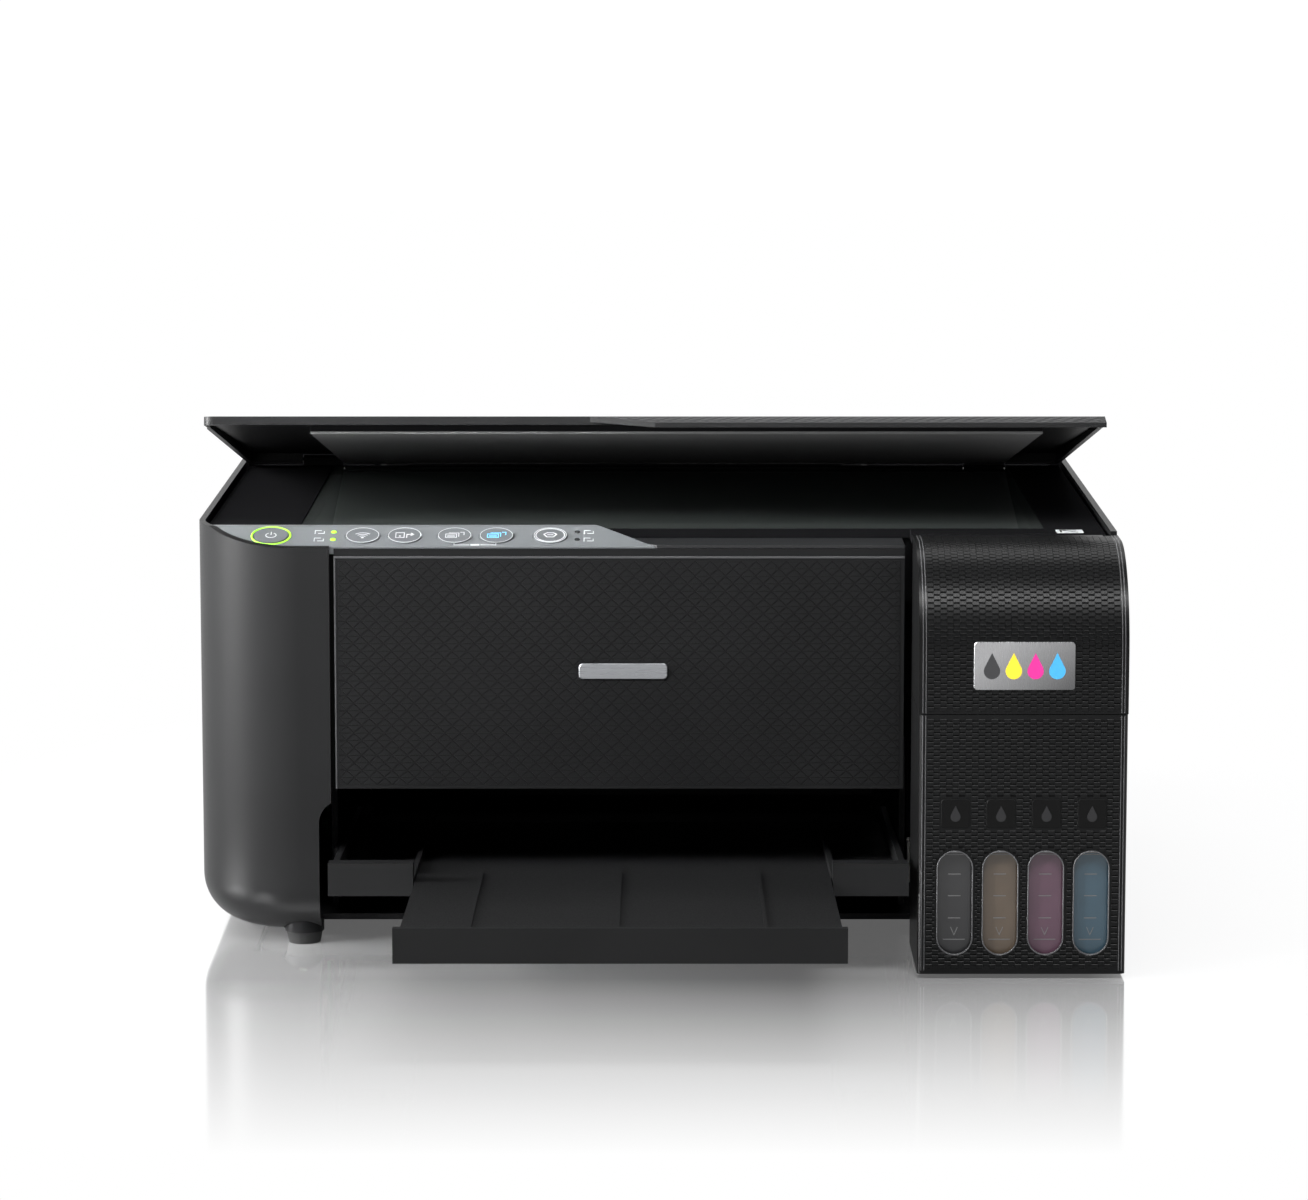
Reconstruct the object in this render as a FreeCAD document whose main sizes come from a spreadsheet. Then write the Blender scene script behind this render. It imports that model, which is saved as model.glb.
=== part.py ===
"""Ink-tank inkjet printer with flatbed scanner, in millimetres.

X is to the right, Y to the back and Z up. Every y in this file is measured back from the front face of the
ink tank unit; the sheet cell front_y then carries the whole printer to its place, so that the origin is at
the middle of the bottom of its box. The document cover is ajar and the output tray is pulled out.
"""
import FreeCAD, Part
import math
import os
import re
import Sketcher

X_AXIS = FreeCAD.Vector(1, 0, 0)
Y_AXIS = FreeCAD.Vector(0, 1, 0)
Z_AXIS = FreeCAD.Vector(0, 0, 1)

doc = FreeCAD.newDocument("InkjetPrinter")
sheet = doc.addObject("Spreadsheet::Sheet", "Dims")

DIMENSIONS = {
    # whole case
    "front_y": -91,
    "half_width": 187.5,
    "case_front": 55,
    "case_rear": 347,
    "case_bottom": 4.8,
    "rim_top": 172,
    "wall": 2.5,
    "corner_r": 42,
    "edge_r": 20,
    "side_cover_inner": 131.6,
    "rear_panel_half": 176,
    # front door and the slot under it
    "door_left": -129.7,
    "door_right": 101.5,
    "door_low": 66.5,
    "door_high": 165.2,
    "door_face": 56,
    "slot_left": -136.7,
    "slot_top": 62,
    "slot_arch_r": 10,
    # control panel
    "panel_front": 57.8,
    "panel_crease": 76,
    "panel_rear": 78.6,
    "panel_low": 165.8,
    "panel_high": 172,
    "panel_thick": 3,
    "panel_rear_end": -22.4,
    "panel_tip": 0.4,
    "panel_middle": 67,
    "panel_angle": 18.9,
    "panel_slope": 0.341,
    "panel_sine": 0.3239,
    "panel_cosine": 0.9461,
    "button_r": 6.85,
    "button_gap": 0.3,
    "button_height": 5,
    "button_proud": 0.4,
    "power_x": -155.8,
    "wireless_x": -118.5,
    "status_x": -101.4,
    "copy_mono_x": -81.1,
    "copy_colour_x": -64.1,
    "stop_x": -42.2,
    "ledge_top": 166.5,
    "board_drop": 12.5,
    "board_thick": 1.6,
    # ink tank unit
    "tank_left": 104.7,
    "tank_bottom": 2,
    "tank_seam": 106.6,
    "tank_rear": 58,
    "tank_wall": 2.2,
    "tank_round": 40,
    "tank_top": 170.8,
    "tank_back_wall_top": 165,
    "tank_edge_r": 2.5,
    "window_first": 119.45,
    "window_pitch": 18.05,
    "window_r": 7.1,
    "window_low": 9.7,
    "window_high": 51.9,
    "lid_axis_y": 54.4,
    "lid_axis_z": 168.6,
    "cap_axis_y": 48,
    "cap_axis_z": 111.5,
    # scanner
    "deck_top": 170,
    "deck_half": 183.5,
    "deck_front": 79.6,
    "deck_rear": 300,
    "tub_bottom": 140,
    "tub_top": 166.3,
    "tub_front": 82,
    "tub_corner_r": 15,
    "glass_left": -145.3,
    "glass_right": 159.8,
    "glass_front": 82.4,
    "glass_rear": 296,
    "scanner_axis_y": 306,
    "scanner_axis_z": 163,
    # document cover
    "cover_half": 184,
    "cover_top": 177,
    "cover_under": 170.4,
    "cover_front": 76,
    "cover_tip": 68,
    "cover_tip_top": 173.9,
    "flange_start": -26,
    "cover_edge": 3.4,
    "cover_rear": 305.5,
    "cover_axis_y": 303,
    "cover_axis_z": 172.5,
    "cover_ajar": 10,
    "cover_corner_r": 4,
    "mat_left": -140.7,
    "mat_right": 159.1,
    # output tray
    "tray_left": -129.5,
    "tray_right": 101.2,
    "tray_low": 33.6,
    "tray_lip": 13,
    "tray_length": 195,
    "tray_slope": 3.1,
    "stage_left": -95.1,
    "stage_right": 70.5,
    "stage_out": 165,
    "stage_length": 190,
    # paper feed
    "feed_left": -121.7,
    "feed_right": 94.3,
    "feed_lean": 33,
    "feed_top_y": 338,
    "plate_left": -134,
    "plate_right": 101.9,
    "plate_thick": 2.4,
    "roller_y": 206,
    "roller_z": 74.5,
    "roller_r": 6,
    "eject_y": 148,
    "eject_r": 5,
    "idler_z": 66.82,
    "gear_module": 0.8,
    "gear_width": 5,
    "gear_x": -150,
    "pickup_r": 18,
    "pickup_y": 259.9,
    "pickup_z": 109.5,
    # print carriage
    "carriage_x": 135,
    "carriage_half": 45,
    "belt_z": 110,
    "belt_half": 6.5,
    "pulley_x": 167,
    "pulley_r": 6,
    "frame_y": 222,
    # feet
    "foot_x": 144,
    "foot_front": 70,
    "foot_rear": 325,
    "foot_r": 7.5,
    "foot_height": 5,
}

BUTTONS = {
    "power_button": "power_x",
    "wireless_button": "wireless_x",
    "status_button": "status_x",
    "copy_mono_button": "copy_mono_x",
    "copy_colour_button": "copy_colour_x",
    "stop_button": "stop_x",
}

FEED_TEETH = 30
IDLER_TEETH = 45
PINION_TEETH = 12
STAR_TEETH = 14
WINDOW_COUNT = 4
nodes = {}


def write_dimensions():
    """Fills the sheet, one cell and one alias for each dimension."""
    for row, (alias, number) in enumerate(DIMENSIONS.items(), 1):
        sheet.set(f"A{row}", str(number))
        sheet.setAlias(f"A{row}", alias)
    doc.recompute()


def bind(thing, setting, text):
    """Ties one property to an expression; each bare word in it is a cell of the sheet."""
    thing.setExpression(setting, re.sub(r"\b([a-z][a-z0-9_]*)\b(?!\()", r"Dims.\1", str(text)))


def move_to(thing, x, y, z):
    """Binds where an object stands."""
    for axis, text in zip("xyz", (x, y, z)):
        bind(thing, f"Placement.Base.{axis}", text)


def box(x0, x1, y0, y1, z0, z1):
    """A block between two corners."""
    block = doc.addObject("Part::Box", "Block")
    bind(block, "Length", f"({x1})-({x0})")
    bind(block, "Width", f"({y1})-({y0})")
    bind(block, "Height", f"({z1})-({z0})")
    move_to(block, x0, y0, z0)
    return block


def rod(along, start, end, first, second, radius):
    """A round bar along one axis; first and second are its place on the other two, in x, y, z order."""
    bar = doc.addObject("Part::Cylinder", "Rod")
    bind(bar, "Radius", radius)
    bind(bar, "Height", f"({end})-({start})")
    if along == "x":
        bar.Placement.Rotation = FreeCAD.Rotation(Y_AXIS, 90)
        move_to(bar, start, first, second)
    elif along == "y":
        bar.Placement.Rotation = FreeCAD.Rotation(X_AXIS, -90)
        move_to(bar, first, start, second)
    else:
        move_to(bar, first, second, start)
    return bar


def join(*things):
    """One solid from several."""
    whole = doc.addObject("Part::MultiFuse", "Join")
    whole.Shapes = list(things)
    return whole


def cut(base, *tools):
    """The base with every tool taken out of it."""
    left = doc.addObject("Part::Cut", "Cut")
    left.Base = base
    left.Tool = join(*tools) if len(tools) > 1 else tools[0]
    return left


def common(first, second):
    """What two solids share."""
    shared = doc.addObject("Part::Common", "Common")
    shared.Base = first
    shared.Tool = second
    return shared


def group(*things):
    """Several separate solids kept in one node."""
    bundle = doc.addObject("Part::Compound", "Group")
    bundle.Links = list(things)
    return bundle


def outline(role, corners, start, length):
    """A PartDesign body: a closed outline of straight sides on an origin plane, padded square to it."""
    body = doc.addObject("PartDesign::Body", "Body")
    plane = [item for item in body.Origin.OriginFeatures if item.Role == role][0]
    sketch = body.newObject("Sketcher::SketchObject", "Outline")
    sketch.AttachmentSupport = [(plane, "")]
    sketch.MapMode = "FlatFace"
    bind(sketch, "AttachmentOffset.Base.z", start)
    count = len(corners)
    rough = [
        FreeCAD.Vector(math.cos(2 * math.pi * i / count), math.sin(2 * math.pi * i / count), 0)
        for i in range(count)
    ]
    for i in range(count):
        sketch.addGeometry(Part.LineSegment(rough[i], rough[(i + 1) % count]), False)
    for i in range(count):
        sketch.addConstraint(Sketcher.Constraint("Coincident", i, 2, (i + 1) % count, 1))
    for i, (across, up) in enumerate(corners):
        for kind, text in (("DistanceX", across), ("DistanceY", up)):
            index = sketch.addConstraint(Sketcher.Constraint(kind, -1, 1, i, 1, 1.0))
            bind(sketch, f"Constraints[{index}]", text)
    pad = body.newObject("PartDesign::Pad", "Pad")
    pad.Profile = sketch
    bind(pad, "Length", length)
    doc.recompute()
    return body


def edges_on(shape, sides, skip):
    """Names of the edges on every named side of the shape's box, less those wholly on a skipped side."""
    limits = shape.BoundBox
    planes = {
        "left": ("x", limits.XMin),
        "right": ("x", limits.XMax),
        "front": ("y", limits.YMin),
        "rear": ("y", limits.YMax),
        "bottom": ("z", limits.ZMin),
        "top": ("z", limits.ZMax),
    }

    def lies_on(edge, side):
        axis, place = planes[side]
        return all(abs(getattr(corner.Point, axis) - place) < 0.01 for corner in edge.Vertexes)

    return [
        f"Edge{number}"
        for number, edge in enumerate(shape.Edges, 1)
        if all(lies_on(edge, side) for side in sides) and not any(lies_on(edge, side) for side in skip)
    ]


def round_edges(body, radius, sides, skip=()):
    """Rounds the edges of a body on the named sides of its box."""
    before = body.Tip
    fillet = body.newObject("PartDesign::Fillet", "Rounding")
    fillet.Base = (before, edges_on(before.Shape, sides, skip))
    bind(fillet, "Radius", radius)
    doc.recompute()
    return body


def plan_block(x0, x1, y0, y1, z0, z1):
    """A block drawn as a plan outline and padded up, ready for rounding."""
    corners = ((x0, y0), (x1, y0), (x1, y1), (x0, y1))
    return outline("XY_Plane", corners, z0, f"({z1})-({z0})")


def side_profile(corners, x0, x1):
    """A profile in y and z, padded to the right from x0 to x1."""
    return outline("YZ_Plane", corners, x0, f"({x1})-({x0})")


def node(label, thing, tilt=0, x="0", y="0", z="0", axis=X_AXIS):
    """Names a finished sub-part and sets its place; tilt turns it about its own local origin."""
    if thing.TypeId not in ("Part::Cut", "Part::MultiFuse", "Part::Common", "PartDesign::Body"):
        thing = group(thing)
    thing.Label = label
    thing.Placement.Rotation = FreeCAD.Rotation(axis, tilt)
    move_to(thing, x, f"front_y+({y})", z)
    nodes[label] = thing


def turned(thing, degrees, y, z):
    """Turns a solid about an X line through y and z, from where it is drawn."""
    holder = group(thing)
    holder.Placement.Rotation = FreeCAD.Rotation(X_AXIS, degrees)
    doc.recompute()
    centre = FreeCAD.Vector(0, size(y), size(z))
    holder.Placement.Base = centre - holder.Placement.Rotation.multVec(centre)
    return holder


def size(alias):
    """A dimension's number, for the shapes that are set by code."""
    return float(sheet.get(alias))


# ---------------------------------------------------------------- case


def side_shell():
    """The left half of the case wall: rounded front corner and bottom edge, open top and inner side."""
    outer = plan_block(
        "-half_width", "-side_cover_inner", "case_front", "case_rear", "case_bottom", "rim_top"
    )
    round_edges(outer, "corner_r", ("left", "front"))
    round_edges(outer, "edge_r", ("bottom",), ("right", "rear"))
    inner = plan_block(
        "-half_width+wall", "-100", "case_front+wall", "case_rear-wall", "case_bottom+wall", "rim_top+9"
    )
    round_edges(inner, "corner_r-wall", ("left", "front"))
    round_edges(inner, "edge_r-wall", ("bottom",), ("right", "rear"))
    return outer, inner


def foot_holes(sign):
    """Openings for the feet of one side."""
    places = ("foot_front", "foot_rear")
    return [rod("z", "0", "edge_r", f"{sign}foot_x", place, "foot_r+1.2") for place in places]


def left_side_cover():
    outer, inner = side_shell()
    bottom_gap = box("-foot_x-21", "0", "foot_front+6", "case_rear-wall", "0", "edge_r")
    rear_gap = box("-rear_panel_half", "0", "case_rear-10", "case_rear+1", "0", "rim_top+1")
    arch = plan_block("slot_left", "0", "case_front-1", "case_front+edge_r+6", "0", "slot_top")
    round_edges(arch, "slot_arch_r", ("left", "top"))
    slope = (
        ("case_front-5", "panel_low-0.3-5*panel_slope"),
        ("panel_crease", "rim_top"),
        ("panel_crease", "rim_top+9"),
        ("case_front-5", "rim_top+9"),
    )
    wedge = side_profile(slope, "-half_width-1", "0")
    node("left_side_cover", cut(outer, inner, bottom_gap, rear_gap, arch, wedge, *foot_holes("-")))


def right_side_cover():
    """A straight wall with a rounded bottom edge, behind the tank unit."""
    front = "tank_rear+0.3"
    outer = plan_block("side_cover_inner", "half_width", front, "case_rear", "case_bottom", "rim_top")
    round_edges(outer, "edge_r", ("right", "bottom"))
    inner = plan_block("100", "half_width-wall", "0", "case_rear-wall", "case_bottom+wall", "rim_top+9")
    round_edges(inner, "edge_r-wall", ("right", "bottom"))
    bottom_gap = box("100", "foot_x+21", "0", "case_rear-wall", "0", "edge_r")
    rear_gap = box("100", "rear_panel_half", "case_rear-10", "case_rear+1", "0", "rim_top+1")
    node("right_side_cover", cut(outer, inner, bottom_gap, rear_gap))


def rear_cover():
    """Back wall with openings for the power inlet and the data socket, and sunk screw holes."""
    half = "rear_panel_half-0.3"
    plate = box(f"-({half})", half, "case_rear-wall", "case_rear", "10.5", "rim_top-0.5")
    inlet = box("121.7", "146.3", "case_rear-9", "case_rear+1", "39.7", "60.3")
    data = box("-160.3", "-147.7", "case_rear-9", "case_rear+1", "44.7", "56.3")
    holes = []
    for x, z in screw_places():
        holes.append(rod("y", "case_rear-3", "case_rear+1", x, z, "1.7"))
        holes.append(rod("y", "case_rear-1.2", "case_rear+1", x, z, "3.1"))
    node("rear_cover", cut(plate, inlet, data, *holes))


def screw_places():
    """Where the rear screws are, in x and z."""
    return [(x, z) for x in ("-160", "0", "160") for z in ("20", "30") if (z == "20") == (x != "0")]


def cover_screws():
    screws = []
    for x, z in screw_places():
        head = rod("y", "case_rear-1.2", "case_rear-0.1", x, z, "2.8")
        shank = rod("y", "case_rear-9", "case_rear-1.2", x, z, "1.5")
        socket = rod("y", "case_rear-0.8", "case_rear", x, z, "1.2")
        screws.append(cut(join(head, shank), socket))
    node("cover_screws", group(*screws))


def front_panel():
    """The front door: a ribbed plate with a return along its top and bottom."""
    inside = "door_face+wall"
    face = box("door_left", "door_right", "door_face", inside, "door_low", "door_high")
    top = box("door_left", "door_right", inside, "door_face+10", "door_high-16", "door_high-14")
    low = box("door_left", "door_right", inside, "door_face+12", "door_low", "door_low+2")
    ribs = [
        box(f"{x}", f"{x}+1.6", inside, "door_face+10", "door_low+2", "door_high-16")
        for x in (-128, -80, -32, 16, 64, 99)
    ]
    rebate = box(
        "door_left-1",
        "panel_tip+0.3",
        "panel_front-0.2",
        "door_face+9",
        "door_high-3",
        "door_high+1",
    )
    node("front_panel", join(cut(face, rebate), top, low, *ribs))


def front_ledge():
    """The smooth shelf to the right of the control panel, where the document cover comes down."""
    corners = (
        ("panel_tip+0.8", "panel_front-0.4"),
        ("door_right", "panel_front-0.4"),
        ("door_right", "panel_rear"),
        ("panel_rear_end-3", "panel_rear"),
    )
    under = "ledge_top-1.2"
    shelf = outline("XY_Plane", corners, under, "1.2")
    web = box("panel_rear_end+6", "door_right-1", "panel_rear-2", "panel_rear", "door_high-8", under)
    node("front_ledge", join(shelf, web))


def rubber_feet():
    """Four feet: each a tapered pad with a stem pressed up under the base."""
    feet = []
    for sign in ("-", ""):
        for place in ("foot_front", "foot_rear"):
            pad = doc.addObject("Part::Cone", "Foot")
            bind(pad, "Radius1", "foot_r-1")
            bind(pad, "Radius2", "foot_r")
            bind(pad, "Height", "foot_height")
            move_to(pad, f"{sign}foot_x", place, "0")
            feet.append(pad)
    node("rubber_feet", group(*feet))


def base_frame():
    """Floor, foot bosses, rear wall and the two side plates that carry the rollers."""
    floor = plan_block("-164", "164", "77", "342", "7.6", "10.1")
    round_edges(floor, "edge_r+2", ("left", "front"))
    bosses = [
        rod("z", "foot_height", "10.1", f"{sign}foot_x", place, "foot_r+0.6")
        for sign in ("-", "")
        for place in ("foot_front", "foot_rear")
    ]
    back = box("-164", "164", "341.5", "344", "10.1", "34")
    plates = []
    for x in ("plate_left", "plate_right"):
        plates.append(box(x, f"{x}+plate_thick", "95", "230", "10.1", "81"))
        plates.append(box(x, f"{x}+plate_thick", "230", "338", "10.1", "136"))
    pilots = [rod("y", "330", "350", x, z, "1.65") for x, z in screw_places()]
    shafts = [
        rod("x", "-140", "110", "roller_y", "roller_z", "3.3"),
        rod("x", "-140", "110", "eject_y", "roller_z", "3.3"),
        rod("x", "-140", "110", "pickup_y", "pickup_z", "3.3"),
    ]
    stub = rod("x", "gear_x-1", "plate_left", "(roller_y+eject_y)/2", "idler_z", "2.5")
    solid = join(cut(join(floor, back, *plates, *bosses), *pilots, *shafts), stub)
    node("base_frame", join(solid, tray_rails()))


# ---------------------------------------------------------------- control panel


def control_panel():
    """The sloped strip above the front, with round holes for the buttons."""
    corners = (
        ("-half_width+wall+0.3", "panel_front"),
        ("panel_tip", "panel_front"),
        ("panel_rear_end", "panel_crease"),
        ("panel_rear_end-2", "panel_rear"),
        ("panel_rear_end-2", "panel_rear+corner_r"),
        ("-half_width+wall+0.3", "panel_rear+corner_r"),
    )
    plan = outline("XY_Plane", corners, "140", "40")
    round_edges(plan, "corner_r-wall-1", ("left", "front"))
    slope = (
        ("panel_front-3", "panel_low-3*panel_slope"),
        ("panel_crease", "panel_high"),
        ("panel_rear", "panel_high"),
        ("panel_rear", "panel_high-panel_thick"),
        ("panel_crease", "panel_high-panel_thick"),
        ("panel_front-3", "panel_low-panel_thick-3*panel_slope"),
    )
    strip = common(side_profile(slope, "-half_width", "panel_tip+1"), plan)
    holes = [panel_rod(x, "-15", "15", "button_r+button_gap") for x in BUTTONS.values()]
    node("control_panel", cut(strip, *holes))


def panel_rod(x, low, high, radius):
    """A round bar square to the sloped panel; heights are measured from the panel's surface."""
    bar = doc.addObject("Part::Cylinder", "Rod")
    bind(bar, "Radius", radius)
    bind(bar, "Height", f"({high})-({low})")
    bar.Placement.Rotation = FreeCAD.Rotation(X_AXIS, size("panel_angle"))
    surface = "(panel_low+(panel_middle-panel_front)*panel_slope)"
    move_to(bar, x, f"panel_middle-({low})*panel_sine", f"{surface}+({low})*panel_cosine")
    return bar


def buttons():
    """Round push buttons, each with a retaining flange below the panel."""
    for label, x in BUTTONS.items():
        cap = panel_rod(x, "button_proud-button_height", "button_proud", "button_r")
        flange = panel_rod(x, "-panel_thick-1.4", "-panel_thick+0.1", "button_r+1.2")
        node(label, join(cap, flange))


def panel_board():
    """The circuit board under the buttons."""
    front = "panel_front+2.5"
    rear = "panel_rear-1"
    under = "panel_low-board_drop"
    rise = f"(({rear})-({front}))*panel_slope"
    corners = (
        (front, under),
        (rear, f"{under}+{rise}"),
        (rear, f"{under}+board_thick+{rise}"),
        (front, f"{under}+board_thick"),
    )
    return side_profile(corners, "-158", "-30")


# ---------------------------------------------------------------- ink tank unit


def window_xs():
    """The four tanks' centre lines."""
    return [f"window_first+window_pitch*{i}" for i in range(WINDOW_COUNT)]


def tank_housing():
    """A hollow block with four level windows, four filler holes and a tall back wall."""
    outer = plan_block("tank_left", "half_width", "0", "tank_rear", "tank_bottom", "tank_seam")
    round_edges(outer, "tank_edge_r", ("front", "left"))
    round_edges(outer, "tank_edge_r", ("front", "right"))
    inner = box(
        "tank_left+tank_wall",
        "half_width-tank_wall",
        "tank_wall",
        "tank_rear-tank_wall",
        "tank_bottom+tank_wall",
        "tank_seam-tank_wall",
    )
    back = box(
        "tank_left", "half_width", "tank_rear-tank_wall", "tank_rear", "tank_seam", "tank_back_wall_top"
    )
    openings = [inner]
    for x in window_xs():
        low = "window_low+window_r"
        high = "window_high-window_r"
        openings.append(rod("y", "-1", "tank_wall+1", x, low, "window_r"))
        openings.append(rod("y", "-1", "tank_wall+1", x, high, "window_r"))
        openings.append(box(f"{x}-window_r", f"{x}+window_r", "-1", "tank_wall+1", low, high))
        openings.append(rod("z", "tank_seam-5", "tank_seam+1", x, "26", "4.5"))
        openings.append(rod("y", "tank_rear-5", "tank_rear+1", x, "20", "1.8"))
    ears = []
    for x0, x1 in (("tank_left+2.6", "tank_left+5.4"), ("half_width-5.4", "half_width-2.6")):
        knuckle = rod("x", x0, x1, "lid_axis_y", "lid_axis_z", "1.9")
        arm = box(x0, x1, "lid_axis_y-1", "tank_rear", "tank_back_wall_top-6", "lid_axis_z-1.4")
        ears.append(join(knuckle, arm))
    pins = [
        rod("x", "tank_left+0.9", "tank_left+2.6", "lid_axis_y", "lid_axis_z", "0.9"),
        rod("x", "half_width-2.6", "half_width-0.9", "lid_axis_y", "lid_axis_z", "0.9"),
    ]
    node("tank_housing", join(cut(join(outer, back), *openings), *ears, *pins, cap_hinge()))


def tank_cover():
    """The hinged hood over the filler caps: upright front, large round shoulder, flat top."""
    outer_profile = (
        ("0", "tank_seam+0.3"),
        ("0", "tank_top"),
        ("lid_axis_y+1.1", "tank_top"),
        ("lid_axis_y+1.1", "tank_seam+0.3"),
    )
    outer = side_profile(outer_profile, "tank_left", "half_width")
    round_edges(outer, "tank_round", ("front", "top"))
    inner_profile = (
        ("tank_wall", "tank_seam-5"),
        ("tank_wall", "tank_top-tank_wall"),
        ("tank_rear+5", "tank_top-tank_wall"),
        ("tank_rear+5", "tank_seam-5"),
    )
    inner = side_profile(inner_profile, "tank_left+tank_wall", "half_width-tank_wall")
    round_edges(inner, "tank_round-tank_wall", ("front", "top"))
    spans = (("tank_left+tank_wall", "tank_left+6.2"), ("half_width-6.2", "half_width-tank_wall"))
    notches = [
        box(x0, x1, "lid_axis_y-3.4", "tank_rear", "tank_top-6", "tank_top+1") for x0, x1 in spans
    ]
    bore = rod("x", "tank_left+0.7", "half_width-0.7", "lid_axis_y", "lid_axis_z", "1.15")
    node("tank_cover", cut(outer, inner, bore, *notches))


def ink_tanks():
    """Four bottles side by side, each with a neck under its cap and an outlet at the back."""
    tanks = []
    for x in window_xs():
        bottle = plan_block(f"{x}-8.4", f"{x}+8.4", "3.2", "50", "6", "98")
        round_edges(bottle, "2", ("front", "left"))
        round_edges(bottle, "2", ("front", "right"))
        neck = rod("z", "98", "tank_seam+1.2", x, "26", "4")
        tanks.append(join(bottle, neck))
    node("ink_tanks", group(*tanks))


def ink_tubes():
    """Four supply tubes from the tanks to the clamp in front of the carriage's path."""
    tubes = [rod("y", "50", "130", x, "20", "1.4") for x in window_xs()]
    clamp = box("window_first-5", "window_first+window_pitch*3+3", "130", "134", "12", "26")
    leg = box("window_first", "window_first+window_pitch*2", "130", "134", "10.1", "12")
    node("ink_tubes", join(clamp, leg, *tubes))


def filler_caps():
    """Flip caps: a lever with a plug pad over the neck and a barrel at its hinge."""
    for label, x in zip(("cap_black", "cap_yellow", "cap_magenta", "cap_cyan"), window_xs()):
        lever = plan_block(f"{x}-6.5", f"{x}+6.5", "14", "cap_axis_y", "cap_axis_z-1.4", "cap_axis_z+1.4")
        round_edges(lever, "5", ("front", "left"))
        round_edges(lever, "5", ("front", "right"))
        pad = rod("z", "tank_seam+1.4", "cap_axis_z-1.4", x, "26", "5")
        barrel = rod("x", f"{x}-6.5", f"{x}+6.5", "cap_axis_y", "cap_axis_z", "1.9")
        bore = rod("x", f"{x}-7.5", f"{x}+7.5", "cap_axis_y", "cap_axis_z", "0.9")
        node(label, cut(join(lever, pad, barrel), bore))


def cap_hinge():
    """The rod that the four caps turn on, with its posts on the tank housing's deck."""
    pin = rod("x", "window_first-9", "window_first+window_pitch*3+9", "cap_axis_y", "cap_axis_z", "0.75")
    posts = []
    for i in range(WINDOW_COUNT + 1):
        x = f"window_first+window_pitch*({i}-0.5)"
        front, rear = "cap_axis_y-2", "cap_axis_y+2"
        posts.append(box(f"{x}-1.2", f"{x}+1.2", front, rear, "tank_seam", "cap_axis_z+1.6"))
    return join(pin, *posts)


# ---------------------------------------------------------------- scanner


def scanner_base():
    """The tub under the glass, with sockets for the cover's posts and ears for its own hinge."""
    outer = plan_block("-deck_half", "deck_half", "tub_front", "deck_rear", "tub_bottom", "tub_top")
    round_edges(outer, "tub_corner_r", ("left", "front"))
    inner = plan_block(
        "-deck_half+wall",
        "deck_half-wall",
        "tub_front+wall",
        "deck_rear-wall",
        "tub_bottom+wall",
        "tub_top+1",
    )
    round_edges(inner, "tub_corner_r-wall", ("left", "front"))
    sockets = []
    bores = [inner]
    for x in ("-150", "150"):
        sockets.append(box(f"{x}-12", f"{x}+12", "deck_rear", "deck_rear+8.5", "142", "163"))
        bores.append(box(f"{x}-9.3", f"{x}+9.3", "deck_rear+0.9", "deck_rear+7.1", "144", "164"))
    ears = []
    for x0, x1 in (("-180", "-173"), ("173", "180")):
        ears.append(rod("x", x0, x1, "scanner_axis_y", "scanner_axis_z", "3.6"))
        ears.append(box(x0, x1, "deck_rear", "scanner_axis_y", "scanner_axis_z-3.6", "scanner_axis_z+2"))
        bores.append(rod("x", f"{x0}-1", f"{x1}+1", "scanner_axis_y", "scanner_axis_z", "2.15"))
    node("scanner_base", cut(join(outer, *sockets, *ears), *bores))


def scanner_hinges():
    """Fixed pins for the scanner's rear hinge, on brackets against the side walls."""
    hinges = []
    spans = (
        ("-180.6", "-184.8", "-172", "-180.6"),
        ("180.6", "184.8", "172", "180.6"),
    )
    for near, far, pin_end, pin_start in spans:
        low, high = (far, near) if far.startswith("-") else (near, far)
        start, end = (pin_start, pin_end) if far.startswith("-") else (pin_end, pin_start)
        leg = box(low, high, "scanner_axis_y-2.5", "320", "150", "scanner_axis_z+2.5")
        root = box(low, high, "312", "320", "150", "rim_top-2.5")
        pin = rod("x", start, end, "scanner_axis_y", "scanner_axis_z", "2")
        hinges.append(join(leg, root, pin))
    return hinges


def scanner_bezel():
    """The deck around the glass; at the right it reaches forward behind the tank unit."""
    deck = plan_block("-deck_half", "deck_half", "deck_front", "deck_rear", "tub_top+0.2", "deck_top")
    round_edges(deck, "tub_corner_r+2", ("left", "front"))
    front = side_profile(
        (
            ("tank_rear+1.5", "tub_top+0.2"),
            ("tank_rear+1.5", "deck_top-2"),
            ("tank_rear+8", "deck_top"),
            ("deck_front", "deck_top"),
            ("deck_front", "tub_top+0.2"),
        ),
        "tank_left",
        "deck_half",
    )
    hole = box(
        "glass_left+4",
        "glass_right-4",
        "glass_front+3",
        "glass_rear-4",
        "tub_top-1",
        "deck_top+1",
    )
    seat = box(
        "glass_left-0.2",
        "glass_right+0.2",
        "glass_front-0.2",
        "glass_rear+0.2",
        "deck_top-2.4",
        "deck_top+1",
    )
    node("scanner_bezel", cut(join(deck, front), hole, seat))


def scanner_glass():
    node(
        "scanner_glass",
        box("glass_left", "glass_right", "glass_front", "glass_rear", "deck_top-2.4", "deck_top-0.2"),
    )


def scan_rail():
    node("scan_rail", rod("x", "-deck_half+wall", "deck_half-wall", "190", "148", "3"))


def scan_head():
    """The moving light bar, parked at the left, with a saddle over its rail and a lens window."""
    bar = box("-172", "-150", "90", "290", "151.5", "165")
    saddle = box("-172", "-150", "180", "200", "143.5", "151.5")
    bore = rod("x", "-175", "-145", "190", "148", "3.3")
    window = box("-163", "-159", "94", "286", "164", "166")
    node("scan_head", cut(join(bar, saddle), bore, window))


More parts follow.
